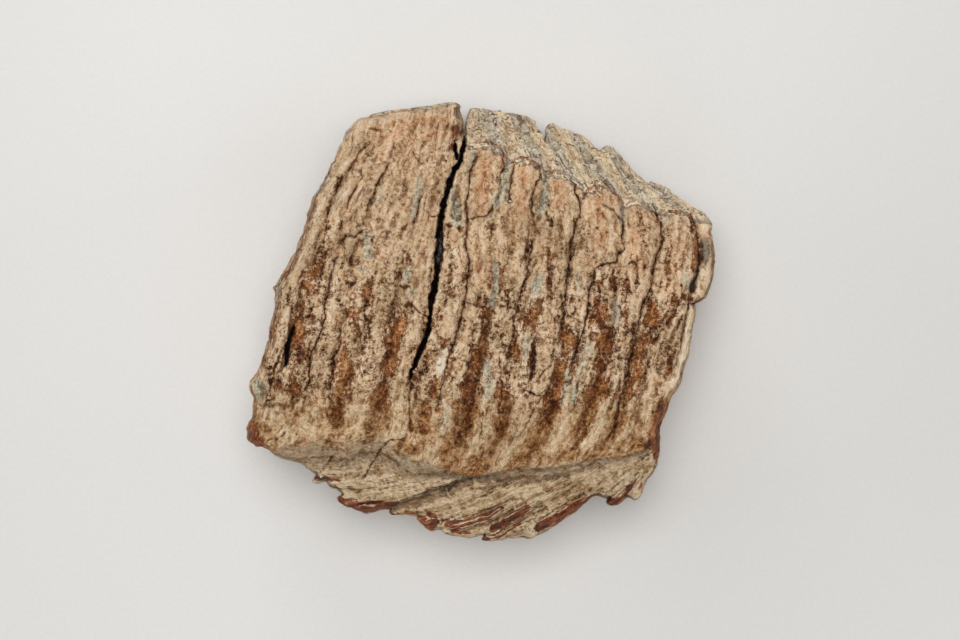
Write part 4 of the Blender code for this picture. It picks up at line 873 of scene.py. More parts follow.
# the side that it lies on
plate_b = sample(PLATE, GX + 6 * noise2(GX / 60, GY / 60, 121), GY)
valley = np.abs(2 * (plate_b - np.floor(plate_b)) - 1)
BOTTOM = -0.9 + 3.0 * smooth(0.55, 1.0, valley) + 0.55 * fbm2(GX / 16, GY / 26, 123, 3) + 0.4 * noise2(GX / 60, GY / 60, 125)
BOTTOM += 5.2 * (1 - smooth(18, 62, -DIST))
BOTTOM = np.maximum(BOTTOM, 0.0).astype(F)

top_g = sample(TOP, GX, GY).astype(F)
row_g = np.clip(np.rint(PLACE).astype(int), 0, len(rows) - 1)
lip_g = (1.6 + 1.9 * at_root[row_g]).astype(F)
rim_g = sample(rim * smooth(-4, 6, BELOW) * 0.7, GX, GY).astype(F)
ledge_g = sample(blur((0.30 * rods + 0.3 * grain) * BAND - 0.35 * crack_depth * BAND, 1), GX, GY).astype(F)
field = np.empty((len(gy), len(gx), len(gz)), F)
for k, z in enumerate(gz):
    side = DIST * UNIT + SIDE[:, k][row_g]
    side -= (rim_g + ledge_g) * float(smooth(18, 26, z))
    end = (END[:, k][None, :] - GY) * UNIT * slant[:, 0][None, :] + END_SHAPE[:, k][None, :]
    side = smax(side, end, 0.8)
    f = smax(z - top_g, side, lip_g)
    field[:, :, k] = smax(f, BOTTOM - z, 0.8) if z < 12 else f
field[:, :, gz <= 0.0] = np.maximum(field[:, :, gz <= 0.0], -gz[gz <= 0.0][None, None, :] + 0.0)


def surface_nets(field, ax, ay, az):
    """A closed mesh of quads where the field is zero, with one point in each cell that it crosses."""
    neg = field < 0
    ny, nx, nz = field.shape
    count = np.zeros((ny - 1, nx - 1, nz - 1), np.uint8)
    for j in (0, 1):
        for i in (0, 1):
            for k in (0, 1):
                count += neg[j : ny - 1 + j, i : nx - 1 + i, k : nz - 1 + k]
    active = (count > 0) & (count < 8)
    cj, ci, ck = np.nonzero(active)
    index = np.full(active.shape, -1, np.int32)
    index[cj, ci, ck] = np.arange(len(cj), dtype=np.int32)
    corner = {}
    for j in (0, 1):
        for i in (0, 1):
            for k in (0, 1):
                corner[j, i, k] = field[cj + j, ci + i, ck + k]
    total = np.zeros((len(cj), 3), np.float64)
    hits = np.zeros(len(cj))
    for a in corner:
        for axis in range(3):
            if a[axis]:
                continue
            b = tuple(1 if n == axis else a[n] for n in range(3))
            fa, fb = corner[a], corner[b]
            m = (fa < 0) != (fb < 0)
            t = np.where(m, fa / np.where(m, fa - fb, 1), 0)
            for n in range(3):
                total[:, n] += np.where(m, a[n] + (t if n == axis else 0), 0)
            hits += m
    total /= hits[:, None]
    v = np.empty((len(cj), 3))
    v[:, 0] = ax[ci] + total[:, 1] * (ax[1] - ax[0])
    v[:, 1] = ay[cj] + total[:, 0] * (ay[1] - ay[0])
    v[:, 2] = az[ck] + total[:, 2] * (az[1] - az[0])
    quads = []
    # edges along y (axis 0), x (axis 1), z (axis 2), with the four cells round each
    e = neg[:-1, 1:-1, 1:-1] != neg[1:, 1:-1, 1:-1]
    j, i, k = np.nonzero(e)
    q = np.stack([index[j, i, k], index[j, i + 1, k], index[j, i + 1, k + 1], index[j, i, k + 1]], 1)
    flip = ~neg[j, i + 1, k + 1]
    q[flip] = q[flip][:, ::-1]
    quads.append(q)
    e = neg[1:-1, :-1, 1:-1] != neg[1:-1, 1:, 1:-1]
    j, i, k = np.nonzero(e)
    q = np.stack([index[j, i, k], index[j, i, k + 1], index[j + 1, i, k + 1], index[j + 1, i, k]], 1)
    flip = ~neg[j + 1, i, k + 1]
    q[flip] = q[flip][:, ::-1]
    quads.append(q)
    e = neg[1:-1, 1:-1, :-1] != neg[1:-1, 1:-1, 1:]
    j, i, k = np.nonzero(e)
    q = np.stack([index[j, i, k], index[j + 1, i, k], index[j + 1, i + 1, k], index[j, i + 1, k]], 1)
    flip = ~neg[j + 1, i + 1, k]
    q[flip] = q[flip][:, ::-1]
    quads.append(q)
    return v, np.concatenate(quads)


def largest_part(v, quads):
    """Drops crumbs that aren't joined to the body."""
    label = np.arange(len(v))
    a = np.concatenate([quads[:, 0], quads[:, 1], quads[:, 2], quads[:, 3]])
    b = np.concatenate([quads[:, 1], quads[:, 2], quads[:, 3], quads[:, 0]])
    for _ in range(400):
        low = np.minimum(label[a], label[b])
        new = label.copy()
        np.minimum.at(new, a, low)
        np.minimum.at(new, b, low)
        new = new[new]
        if (new == label).all():
            break
        label = new
    names, counts = np.unique(label, return_counts=True)
    keep = label == names[counts.argmax()]
    number = np.cumsum(keep) - 1
    return v[keep], number[quads[keep[quads[:, 0]]]]


verts, quads = surface_nets(field, gx, gy, gz)
del field
verts, quads = largest_part(verts, quads)
print("surface", len(verts), "points", len(quads), "quads")


def vertex_normals(v, q):
    n = np.cross(v[q[:, 2]] - v[q[:, 0]], v[q[:, 3]] - v[q[:, 1]])
    out = np.zeros_like(v)
    for c in range(4):
        np.add.at(out, q[:, c], n)
    return out / np.maximum(np.linalg.norm(out, axis=1, keepdims=True), 1e-12)


def relax(v, q, amount, times):
    """Smooths away the steps of the grid."""
    for _ in range(times):
        total = np.zeros_like(v)
        n = np.zeros(len(v))
        for c in range(4):
            a, b = q[:, c], q[:, (c + 1) % 4]
            np.add.at(total, a, v[b])
            np.add.at(n, a, 1)
            np.add.at(total, b, v[a])
            np.add.at(n, b, 1)
        v = v + amount * (total / n[:, None] - v)
    return v


flat = verts[:, 2] < 0.02
held = verts[flat].copy()
mm = verts * [UNIT, -UNIT, 1.0]
normal = vertex_normals(mm, quads)
sideways = 1 - smooth(0.55, 0.85, normal[:, 2])
soft = relax(mm, quads, 0.45, 2)
mm = mm + (soft - mm) * (0.25 + 0.75 * sideways)[:, None]
normal = vertex_normals(mm, quads)
# small relief of the broken and worn sides
q = mm / 1.0
small = 0.17 * fbm3(q[:, 0] / 2.6, q[:, 1] / 2.6, q[:, 2] / 2.6, 141, 3, 0.6) + 0.10 * noise3(q[:, 0] / 0.9, q[:, 1] / 0.9, q[:, 2] / 0.9, 145)
mm += normal * (small * sideways)[:, None]
verts = mm / [UNIT, -UNIT, 1.0]
verts[flat, 2] = np.minimum(verts[flat, 2], held[:, 2])
verts[:, 2] = np.maximum(verts[:, 2], 0.0)


def to_world(v):
    k = UNIT * (EYE - v[:, 2]) / (EYE - DRAWN_AT) * 0.001
    return np.stack([(v[:, 0] - SHEET[0]) * k, (SHEET[1] - v[:, 1]) * k, v[:, 2] * 0.001], 1)


world = to_world(verts)
lo, hi = world.min(0), world.max(0)
SHIFT = (np.array(CAD_LO) + np.array(CAD_HI))[:2] / 2 - (lo[:2] + hi[:2]) / 2
world[:, :2] += SHIFT

mesh = bpy.data.meshes.new("tooth_surface")
mesh.vertices.add(len(world))
mesh.vertices.foreach_set("co", world.astype(F).ravel())
mesh.loops.add(len(quads) * 4)
mesh.loops.foreach_set("vertex_index", quads.astype(np.int32).ravel())
mesh.polygons.add(len(quads))
mesh.polygons.foreach_set("loop_start", np.arange(0, len(quads) * 4, 4, dtype=np.int32))
mesh.update(calc_edges=True)
mesh.validate()
tooth = bpy.data.objects.new("mammoth_tooth", mesh)
bpy.context.scene.collection.objects.link(tooth)

# the face that is looked at keeps more of its points than the sides and the base
weight = 0.3 + 0.6 * smooth(0.15, 0.5, normal[:, 2])
weight = np.where(normal[:, 2] < -0.6, 0.0, weight)
group = tooth.vertex_groups.new(name="keep")
for level_w in np.unique(np.round(weight, 1)):
    ids = np.nonzero(np.round(weight, 1) == level_w)[0]
    group.add(ids.tolist(), float(level_w), "REPLACE")
thin = tooth.modifiers.new("thin", "DECIMATE")
thin.decimate_type = "COLLAPSE"
thin.ratio = MAX_TRIANGLES / (2.0 * len(quads))
thin.vertex_group = "keep"
thin.invert_vertex_group = True  # a high weight is kept
thin.vertex_group_factor = 2e-6
graph = bpy.context.evaluated_depsgraph_get()
made = bpy.data.meshes.new_from_object(tooth.evaluated_get(graph))
tooth.modifiers.clear()
tooth.vertex_groups.clear()
tooth.data = made
made.name = "mammoth_tooth"
bpy.data.meshes.remove(mesh)
flat_co = np.empty(len(made.vertices) * 3, F)
made.vertices.foreach_get("co", flat_co)
flat_co[2::3] = np.maximum(flat_co[2::3], 0.0)
made.vertices.foreach_set("co", flat_co)
made.update()
made.shade_smooth()
print("final", len(made.vertices), "points", sum(len(p.vertices) - 2 for p in made.polygons), "triangles")

# ------------------------------------------------------------------ marks on the surface, one number to a point
n = len(made.vertices)
co = np.empty(n * 3, F)
made.vertices.foreach_get("co", co)
co = co.reshape(-1, 3).astype(np.float64)
nrm = np.empty(n * 3, F)
made.vertices.foreach_get("normal", nrm)
nrm = nrm.reshape(-1, 3)
zz = co[:, 2] * 1000
k = UNIT * (EYE - zz) / (EYE - DRAWN_AT) * 0.001
sx = (co[:, 0] - SHIFT[0]) / k + SHEET[0]
sy = SHEET[1] - (co[:, 1] - SHIFT[1]) / k

mx, my, mz = co[:, 0] * 1000, co[:, 1] * 1000, co[:, 2] * 1000
skin_z = sample(SKIN, sx, sy)
depth_in = skin_z - zz
on_face = smooth(9.0, 3.0, depth_in) * smooth(0.05, 0.35, nrm[:, 2])
seen = np.maximum(on_face, smooth(0.0, 0.13, nrm[:, 2]) * smooth(26.0, 16.0, depth_in))  # as drawn on the sheet

side_grain = fbm3(mx / 5.5, my / 5.5, mz / 5.5, 201, 3, 0.55)
side_fine = fbm3(mx / 1.6, my / 1.6, mz / 1.6, 205, 2, 0.6)
side_broad = fbm3(mx / 16, my / 16, mz / 16, 207, 2)
side_coat = 0.22 + 0.50 * side_grain + 0.34 * side_fine + 0.45 * side_broad
crumb = 0.36 * np.abs(noise3(mx / 1.8, my / 1.8, mz / 1.8, 208))
coat_v = sample(coat, sx, sy) * seen + side_coat * (1 - seen)
above_v = sample(ABOVE, sx, sy)
# painted shade: the openings of the deep cracks, and points more than 1.6 mm down inside them, are marked to be
# coloured near black
hole_v = sample(crack_mark, sx, sy) * seen
deep = sample(crack_depth, sx, sy)
hole_v = np.maximum(hole_v, smooth(1.6, 3.2, depth_in) * (deep > 0.6) * (depth_in < deep + 0.6) * (above_v < -2))
cement_v = sample(cement, sx, sy) * seen + (1 - seen) * smooth(0.35, 0.7, fbm3(mx / 9, my / 9, mz / 9, 211, 2)) * 0.55
# what lies at the rim of the face gives out a little way down the walls, at an uneven line
wander = 4.0 * noise3(mx / 6, my / 6, mz / 6, 225) + 2.5 * noise3(mx / 2.4, my / 2.4, mz / 2.4, 227)
near_rim = np.maximum(smooth(12.5, 6.0, depth_in + wander), (sx > 463) & (above_v > -1.5))
pale_v = sample(pale, sx, sy) * seen * near_rim
gloss_v = sample(glossy, sx, sy) * seen * near_rim
coat_v = coat_v + (sample(glossy, sx, sy) - 0.8 * sample(pale, sx, sy)) * seen * (1 - near_rim)
warm_v = sample(warm, sx, sy) * seen + (1 - seen) * 0.5 * fbm3(mx / 14, my / 14, mz / 14, 213, 2)
dark_v = sample(dark, sx, sy) * seen
blotch_and_shadow_v = sample(blotch_and_shadow, sx, sy) * seen + (1 - seen) * smooth(0.35, 0.75, fbm3(mx / 7, my / 7, mz / 12, 215, 2)) * 0.6

# crevices are above zero and ridges below it
edge_list = np.empty(len(made.edges) * 2, np.int32)
made.edges.foreach_get("vertices", edge_list)
edge_list = edge_list.reshape(-1, 2)
even = co.copy()
for _ in range(5):
    total = np.zeros_like(even)
    many = np.zeros(n)
    for a, b in ((0, 1), (1, 0)):
        np.add.at(total, edge_list[:, a], even[edge_list[:, b]])
        np.add.at(many, edge_list[:, a], 1)
    even = even + 0.7 * (total / many[:, None] - even)
hollow = np.einsum("ij,ij->i", even - co, nrm) * 1000 / 0.16

# the worn end: enamel loops in relief, cement between them, and the slope that is seen from above
on_end = ((sx > 463) & (above_v > -1.5)).astype(float) * smooth(69, 66, zz)
down_end = smooth(0.5, 6.5, depth_in + 0.5 * wander)
on_end = np.maximum(on_end, smooth(0.35, 0.65, nrm[:, 1] + 0.03 * wander) * (sy < 215) * np.where(sx > 463, 1.0, down_end))
fall_v = np.clip((ZF - zz) / (ZF - ZO), -0.1, 1.2)
fx_v = sx + np.interp(sx, *LEAN) * fall_v + 1.6 * noise3(sx / 30, 0.7, zz / 7, 111)
ph = np.interp(fx_v, edge_plates, np.arange(len(GUIDES)))
ac = np.abs(2 * (ph - np.floor(ph)) - 1)
plate_v = ac
cement_v = cement_v * (1 - on_end)
coat_v = coat_v * (1 - 0.6 * on_end) + on_end * 0.40
bounds_of_face = (zz > 20) * (seen > 0.3)
crack_q = np.where(bounds_of_face, sample(crack_over, sx, sy), 20.0)
crack_d = np.where(bounds_of_face, sample(crack_away, sx, sy), 9.0)
arc_q = np.where(bounds_of_face, sample(arc_over, sx, sy), 20.0)
arc_d = np.where(bounds_of_face, sample(arc_away, sx, sy), 9.0)
painted_highlight_q = np.where(bounds_of_face, sample(painted_highlight_over, sx, sy), 20.0)
painted_highlight_d = np.where(bounds_of_face, sample(painted_highlight_away, sx, sy), 9.0)
rubble_v = sample(rubble, sx, sy) * (depth_in > 1.5)

# the roots: pale broken plates with dark glossy enamel at their sides
turned = smooth(0.55, 0.15, nrm[:, 2]) * smooth(16, 8, depth_in) * (1 - on_end) * (sx - 0.2 * sy < 664)
coat_v = coat_v - (0.95 - 0.40 * smooth(330, 260, sy)) * turned * smooth(-0.25, 0.3, side_broad + 0.5 * side_grain + 0.25)
root_v = smooth(-0.35, -0.75, nrm[:, 1]) * smooth(440, 470, sy) * (1 - seen)
root_phase = np.interp(sx + 0.9 * np.maximum(sy - 470, 0), AT_ROOT, np.arange(len(GUIDES)))
rc = np.abs(2 * (root_phase - np.floor(root_phase)) - 1)
gloss_v = np.maximum(gloss_v, root_v * smooth(0.35, 0.5, rc) * smooth(0.75, 0.6, rc) * smooth(-0.2, 0.3, side_broad + side_grain) * 0.8)
coat_v = coat_v + 0.25 * root_v

# which way the fibres run: across them, along them
top_u, top_v = sample(UA, sx, sy) * UNIT, sample(VA, sx, sy) * UNIT
facing = np.abs(nrm[:, 0]) > np.abs(nrm[:, 1])
wall_u = np.where(facing, mz, mx + 0.4 * mz)
wall_v = np.where(facing, my, mz)
wall_u = np.where(on_end > 0.5, fx_v * UNIT, wall_u)
wall_v = np.where(on_end > 0.5, mz * 0.8, wall_v)
use_top = (seen > 0.5) & (on_end < 0.5)
fibre = np.stack([np.where(use_top, top_u, wall_u), np.where(use_top, top_v, wall_v), np.where(use_top, 0.0, 7.0 + 3.0 * facing)], 1)
vector = made.attributes.new("fibre", "FLOAT_VECTOR", "POINT")
vector.data.foreach_set("vector", fibre.astype(F).ravel())

for name, values in {
    "coat": coat_v, "hole": hole_v, "cement": cement_v, "pale": pale_v, "gloss": gloss_v, "blotch_and_shadow": blotch_and_shadow_v, "plate": plate_v,
    "worn_end": on_end, "warm": warm_v, "dark": dark_v, "hollow": hollow, "crack_over": crack_q, "crack_away": crack_d,
    "arc_over": arc_q, "arc_away": arc_d, "painted_highlight_over": painted_highlight_q, "painted_highlight_away": painted_highlight_d, "rubble": rubble_v,
    "band": sample(BAND.astype(F), sx, sy) * seen, "soft": smooth(375, 425, sy) * (1 - sample(BAND.astype(F), sx, sy)) * seen, "level": smooth(0.35, 0.80, nrm[:, 2]), "steep": smooth(0.24, 0.06, nrm[:, 2]) * smooth(0.5, 3.0, depth_in),
}.items():
    a = made.attributes.new(name, "FLOAT", "POINT")
    limit = 20 if name.endswith("over") or name.endswith("away") else 2
    a.data.foreach_set("value", np.clip(values, -limit, limit).astype(F))


# ------------------------------------------------------------------ finish
def linear(r, g, b):
    """A colour stated as it shows on a screen, as light."""
    return tuple(((c / 255 + 0.055) / 1.055) ** 2.4 if c > 10 else c / 255 / 12.92 for c in (r, g, b)) + (1.0,)


class Nodes:
    """Short names for the nodes of one material."""

    def __init__(self, material):
        material.use_nodes = True
        self.tree = material.node_tree
        self.tree.nodes.clear()

    def new(self, kind, **settings):
        node = self.tree.nodes.new(kind)
        for key, value in settings.items():
            setattr(node, key, value)
        return node

    def feed(self, socket, value):
        if isinstance(value, bpy.types.NodeSocket):
            self.tree.links.new(value, socket)
        else:
            socket.default_value = value

    def attribute(self, name):
        return self.new("ShaderNodeAttribute", attribute_name=name).outputs["Fac"]

    def math(self, op, a, b=0.0, clamp=False):
        node = self.new("ShaderNodeMath", operation=op, use_clamp=clamp)
        self.feed(node.inputs[0], a)
        self.feed(node.inputs[1], b)
        return node.outputs[0]

    def ramp(self, value, low, high, to_low=0.0, to_high=1.0, smooth_step=True):
        node = self.new("ShaderNodeMapRange", interpolation_type="SMOOTHSTEP" if smooth_step else "LINEAR", clamp=True) if smooth_step else self.new("ShaderNodeMapRange", clamp=True)
        self.feed(node.inputs["Value"], value)
        for key, v in (("From Min", low), ("From Max", high), ("To Min", to_low), ("To Max", to_high)):
            node.inputs[key].default_value = v
        return node.outputs["Result"]

    def noise(self, where, scale, detail=3.0, rough=0.55, distortion=0.0):
        node = self.new("ShaderNodeTexNoise")
        self.feed(node.inputs["Vector"], where)
        node.inputs["Scale"].default_value = scale
        node.inputs["Detail"].default_value = detail
        node.inputs["Roughness"].default_value = rough
        node.inputs["Distortion"].default_value = distortion
        return node.outputs["Fac"]

    def cells(self, where, scale, feature="F1"):
        node = self.new("ShaderNodeTexVoronoi", feature=feature)
        self.feed(node.inputs["Vector"], where)
        node.inputs["Scale"].default_value = scale
        return node

    def mix(self, factor, a, b, mode="MIX"):
        node = self.new("ShaderNodeMix", data_type="RGBA", blend_type=mode, clamp_factor=True)
        self.feed(node.inputs["Factor"], factor)
        self.feed(node.inputs[6], a)
        self.feed(node.inputs[7], b)
        return node.outputs[2]

    def stops(self, value, colours):
        """A run of colours along a value, each a place and a colour as it shows on a screen."""
        node = self.new("ShaderNodeValToRGB")
        ramp = node.color_ramp
        while len(ramp.elements) < len(colours):
            ramp.elements.new(0.5)
        for element, (at, shade) in zip(ramp.elements, colours):
            element.position = at
            element.color = linear(*shade)
        self.feed(node.inputs["Fac"], value)
        return node.outputs["Color"]

    def bent(self, where, by, scale, amount):
        """A place pushed about by noise."""
        noise = self.new("ShaderNodeTexNoise")
        self.feed(noise.inputs["Vector"], by)
        noise.inputs["Scale"].default_value = scale
        noise.inputs["Detail"].default_value = 2.0
        push = self.new("ShaderNodeVectorMath", operation="MULTIPLY_ADD")
        self.feed(push.inputs[0], noise.outputs["Color"])
        push.inputs[1].default_value = (amount * 2, amount * 2, 0.0)
        self.feed(push.inputs[2], where)
        return push.outputs["Vector"]

    def stretched(self, where, scale):
        node = self.new("ShaderNodeMapping")
        self.feed(node.inputs["Vector"], where)
        node.inputs["Scale"].default_value = scale
        return node.outputs["Vector"]


def tooth_finish():
    material = bpy.data.materials.new("fossil_tooth_finish")
    m = Nodes(material)
    here = m.new("ShaderNodeTexCoord").outputs["Object"]
    fibre_at = m.new("ShaderNodeAttribute", attribute_name="fibre").outputs["Vector"]
    coat_a, hole_a, cement_a = m.attribute("coat"), m.attribute("hole"), m.attribute("cement")
    pale_a, gloss_a, blotch_and_shadow_a = m.attribute("pale"), m.attribute("gloss"), m.attribute("blotch_and_shadow")
    plate_a, end_a, rubble_a = m.attribute("plate"), m.attribute("worn_end"), m.attribute("rubble")
    band_a, level_a, soft_a = m.attribute("band"), m.attribute("level"), m.attribute("soft")
    warm_a, dark_a, hollow_a = m.attribute("warm"), m.attribute("dark"), m.attribute("hollow")

    def around(field, scale):
        return m.math("MULTIPLY", m.math("SUBTRACT", field, 0.5), scale)

    def total(*terms):
        value = terms[0]
        for t in terms[1:]:
            value = m.math("ADD", value, t)
        return value

    broad = m.noise(here, 75.0, 3.0, 0.6)
    middle = m.noise(here, 280.0, 4.0, 0.65, 0.3)
    small_n = m.noise(here, 1050.0, 3.0, 0.7)
    grit = m.noise(here, 2300.0, 2.0, 0.65)
    bark = m.noise(m.stretched(fibre_at, (1.0, 0.24, 1.0)), 0.85, 4.0, 0.68, 0.5)
    strand = m.noise(m.stretched(fibre_at, (1.0, 0.13, 1.0)), 2.0, 3.0, 0.65, 0.2)
    scattered = m.bent(m.stretched(fibre_at, (0.34, 0.12, 1.0)), here, 380.0, 0.32)
    crackle = m.cells(scattered, 1.0, "DISTANCE_TO_EDGE").outputs["Distance"]
    apart = m.new("ShaderNodeSeparateColor")
    m.feed(apart.inputs[0], m.cells(scattered, 1.0).outputs["Color"])
    flake, flake2 = apart.outputs[0], apart.outputs[1]
    hair = m.math("MULTIPLY", m.ramp(crackle, 0.036, 0.010), m.ramp(middle, 0.50, 0.60))

    # dusty coat
    tone = total(around(bark, 0.9), around(small_n, 1.2), around(grit, 1.05), around(middle, 0.5), around(broad, 0.7), around(flake, 0.26), m.math("MULTIPLY", soft_a, -0.07), 0.54)
    coat_c = m.stops(tone, [(0.02, (100, 63, 33)), (0.22, (148, 107, 71)), (0.42, (180, 145, 108)), (0.62, (202, 170, 134)), (0.84, (220, 195, 162)), (1.0, (239, 219, 192))])
    warmth = m.ramp(total(warm_a, around(middle, 3.2), around(broad, 1.5)), -0.1, 1.0)
    coat_c = m.mix(m.math("MULTIPLY", warmth, 0.65), coat_c, m.mix(1.0, coat_c, linear(255, 213, 188), "MULTIPLY"))
    greyness = m.ramp(total(warm_a, around(middle, 3.6), around(broad, 2.5)), -0.05, -0.6)
    coat_c = m.mix(m.math("MULTIPLY", greyness, 0.7), coat_c, m.mix(1.0, coat_c, linear(222, 222, 214), "MULTIPLY"))

    # bare enamel
    depth = total(m.math("MULTIPLY", soft_a, 0.09), around(middle, 1.6), around(small_n, 1.9), around(grit, 1.0), around(bark, 0.9), around(flake, 0.3), m.math("MULTIPLY", dark_a, -0.26), m.math("MULTIPLY", warm_a, 0.16), 0.50)
    bare_c = m.stops(depth, [(0.0, (52, 27, 12)), (0.22, (92, 50, 23)), (0.44, (129, 77, 38)), (0.62, (159, 101, 55)), (0.82, (187, 134, 84)), (1.0, (211, 173, 129))])

    under = m.math("ADD", coat_a, m.math("MULTIPLY", dark_a, -0.25))
    ruffle = total(around(small_n, 2.4), around(grit, 1.9), around(bark, 0.9), around(middle, 0.8))
    covered = m.ramp(total(under, ruffle, around(flake2, 0.30)), -0.34, 0.36)
    gently = m.ramp(m.math("ADD", under, m.math("MULTIPLY", ruffle, 0.42)), -0.62, 0.60)
    covered = m.math("ADD", covered, m.math("MULTIPLY", m.math("SUBTRACT", gently, covered), soft_a))
    halfway = m.math("MULTIPLY", m.math("MULTIPLY", covered, m.math("SUBTRACT", 1.0, covered)), m.math("MULTIPLY", soft_a, 2.2))
    bare_c = m.mix(m.ramp(coat_a, 0.0, 0.5, 0.0, 0.6), bare_c, m.mix(m.ramp(middle, 0.4, 0.6), linear(144, 102, 62), linear(120, 84, 50)))
    colour = m.mix(covered, bare_c, coat_c)
    colour = m.mix(halfway, colour, m.mix(m.ramp(small_n, 0.4, 0.6), linear(160, 108, 62), linear(198, 150, 102)))
    beside = m.ramp(total(m.attribute("crack_away"), around(middle, 7.0), around(small_n, 5.0)), 3.6, 0.6)
    colour = m.mix(m.math("MULTIPLY", beside, m.math("SUBTRACT", 0.30, m.math("MULTIPLY", band_a, 0.19))), colour, m.mix(1.0, colour, linear(190, 146, 110), "MULTIPLY"))

    # low on the face and on the band the dirt is yellower
    colour = m.mix(m.math("MAXIMUM", soft_a, band_a), colour, m.mix(1.0, colour, linear(250, 255, 253), "MULTIPLY"))

    # the root band: paler, with short dark streaks
    colour = m.mix(m.math("MULTIPLY", band_a, m.math("MULTIPLY", covered, m.ramp(total(middle, around(broad, 0.8)), 0.42, 0.56, 0.0, 0.55))), colour, m.mix(m.ramp(small_n, 0.35, 0.6), linear(178, 154, 122), linear(214, 194, 162)))
    streaks = m.math("MULTIPLY", m.ramp(total(strand, around(middle, -0.7), around(small_n, 0.5)), 0.445, 0.35), band_a)
    colour = m.mix(m.math("MULTIPLY", streaks, 0.82), colour, m.mix(m.ramp(middle, 0.42, 0.58), linear(62, 42, 28), linear(118, 80, 50)))

    # grey cement
    cement_tone = total(around(small_n, 2.0), around(grit, 1.2), around(bark, 1.2), 0.5)
    cement_c = m.stops(cement_tone, [(0.05, (84, 74, 60)), (0.35, (136, 127, 108)), (0.6, (172, 163, 140)), (0.9, (206, 198, 174))])
    cement_m = m.ramp(total(cement_a, around(small_n, 1.8), around(bark, 0.8)), 0.30, 0.70)
    colour = m.mix(m.math("MULTIPLY", cement_m, 0.88), colour, cement_c)

    # worn end: warm dentine inside each plate, a thin pale lip of enamel round it, and grey cement between plates
    where_in = total(plate_a, around(middle, 0.5), around(small_n, 0.40), around(strand, 0.15), around(flake, 0.20))
    end_tone = total(around(small_n, 1.7), around(grit, 1.5), around(bark, 0.8), around(middle, 0.8), around(flake, 0.42), 0.56)
    dentine_c = m.stops(end_tone, [(0.05, (168, 132, 92)), (0.3, (224, 189, 146)), (0.55, (244, 216, 176)), (0.9, (252, 238, 210))])
    between_c = m.stops(end_tone, [(0.05, (136, 118, 94)), (0.3, (196, 181, 158)), (0.55, (224, 209, 186)), (0.9, (241, 231, 211))])
    between_c = m.mix(m.ramp(total(flake2, around(middle, 0.8), around(small_n, 0.5)), 0.52, 0.60), between_c, m.mix(1.0, between_c, linear(226, 225, 216), "MULTIPLY"))
    end_c = m.mix(m.ramp(where_in, 0.50, 0.60), dentine_c, between_c)
    steep = m.math("MULTIPLY", m.attribute("steep"), m.ramp(total(middle, around(broad, 0.6)), 0.30, 0.62, 0.75, 1.0))
    end_c = m.mix(steep, end_c, m.mix(1.0, end_c, linear(218, 203, 184), "MULTIPLY"))
    lip = m.ramp(m.math("ABSOLUTE", m.math("SUBTRACT", where_in, 0.50)), 0.075, 0.03)
    end_c = m.mix(m.math("MULTIPLY", lip, m.ramp(middle, 0.40, 0.55, 0.15, 0.85)), end_c, linear(232, 214, 184))
    rust = m.ramp(m.math("ABSOLUTE", m.math("SUBTRACT", where_in, 0.62)), 0.050, 0.018)
    end_c = m.mix(m.math("MULTIPLY", rust, m.ramp(total(middle, around(broad, 0.8), around(small_n, 0.3)), 0.45, 0.53, 0.0, 0.9)), end_c, m.mix(m.ramp(small_n, 0.42, 0.6), linear(64, 46, 34), linear(122, 86, 58)))
    split_end = m.ramp(m.math("ABSOLUTE", m.math("SUBTRACT", total(m.noise(m.stretched(fibre_at, (1.0, 0.35, 1.0)), 0.55, 2.0, 0.5, 0.4), around(small_n, 0.06)), 0.5)), 0.012, 0.004)
    end_c = m.mix(m.math("MULTIPLY", split_end, m.ramp(broad, 0.40, 0.55, 0.1, 0.8)), end_c, linear(92, 70, 52))
    end_c = m.mix(m.ramp(total(small_n, around(middle, 0.6)), 0.37, 0.32), end_c, linear(86, 70, 56))
    chipped = m.math("MULTIPLY", m.ramp(total(crackle, around(small_n, 0.12)), 0.055, 0.020), m.ramp(total(middle, around(broad, 0.6)), 0.46, 0.56, 0.0, 0.75))
    end_c = m.mix(chipped, end_c, m.mix(m.ramp(small_n, 0.42, 0.6), linear(62, 46, 34), linear(116, 88, 62)))
    colour = m.mix(m.math("MULTIPLY", end_a, 0.88), colour, end_c)

    pale_m = m.ramp(total(pale_a, around(small_n, 1.4)), 0.30, 0.75)
    colour = m.mix(pale_m, colour, m.mix(m.ramp(total(pale_a, around(small_n, 1.2)), 1.12, 1.40), m.mix(m.ramp(strand, 0.4, 0.6), linear(206, 178, 144), linear(240, 218, 186)), linear(232, 223, 210)))

    gloss_m = m.ramp(total(gloss_a, around(middle, 1.2), around(small_n, 1.0)), 0.24, 0.46)
    gloss_c = m.stops(total(around(middle, 1.6), around(strand, 1.6), around(small_n, 0.8), 0.5), [(0.1, (50, 21, 10)), (0.4, (90, 43, 22)), (0.65, (128, 70, 38)), (0.95, (184, 128, 88))])
    colour = m.mix(gloss_m, colour, gloss_c)
    # painted highlight: a pale line along the crest of each rod
    painted_highlight = m.ramp(total(m.math("ABSOLUTE", m.attribute("painted_highlight_over")), around(small_n, 1.6)), 1.5, 0.5)
    painted_highlight = m.math("MULTIPLY", m.math("MULTIPLY", painted_highlight, m.ramp(m.attribute("painted_highlight_away"), 2.4, 1.4)), m.ramp(total(middle, around(small_n, 0.5)), 0.40, 0.52, 0.25, 0.85))
    colour = m.mix(m.math("MULTIPLY", painted_highlight, gloss_m), colour, linear(224, 190, 160))

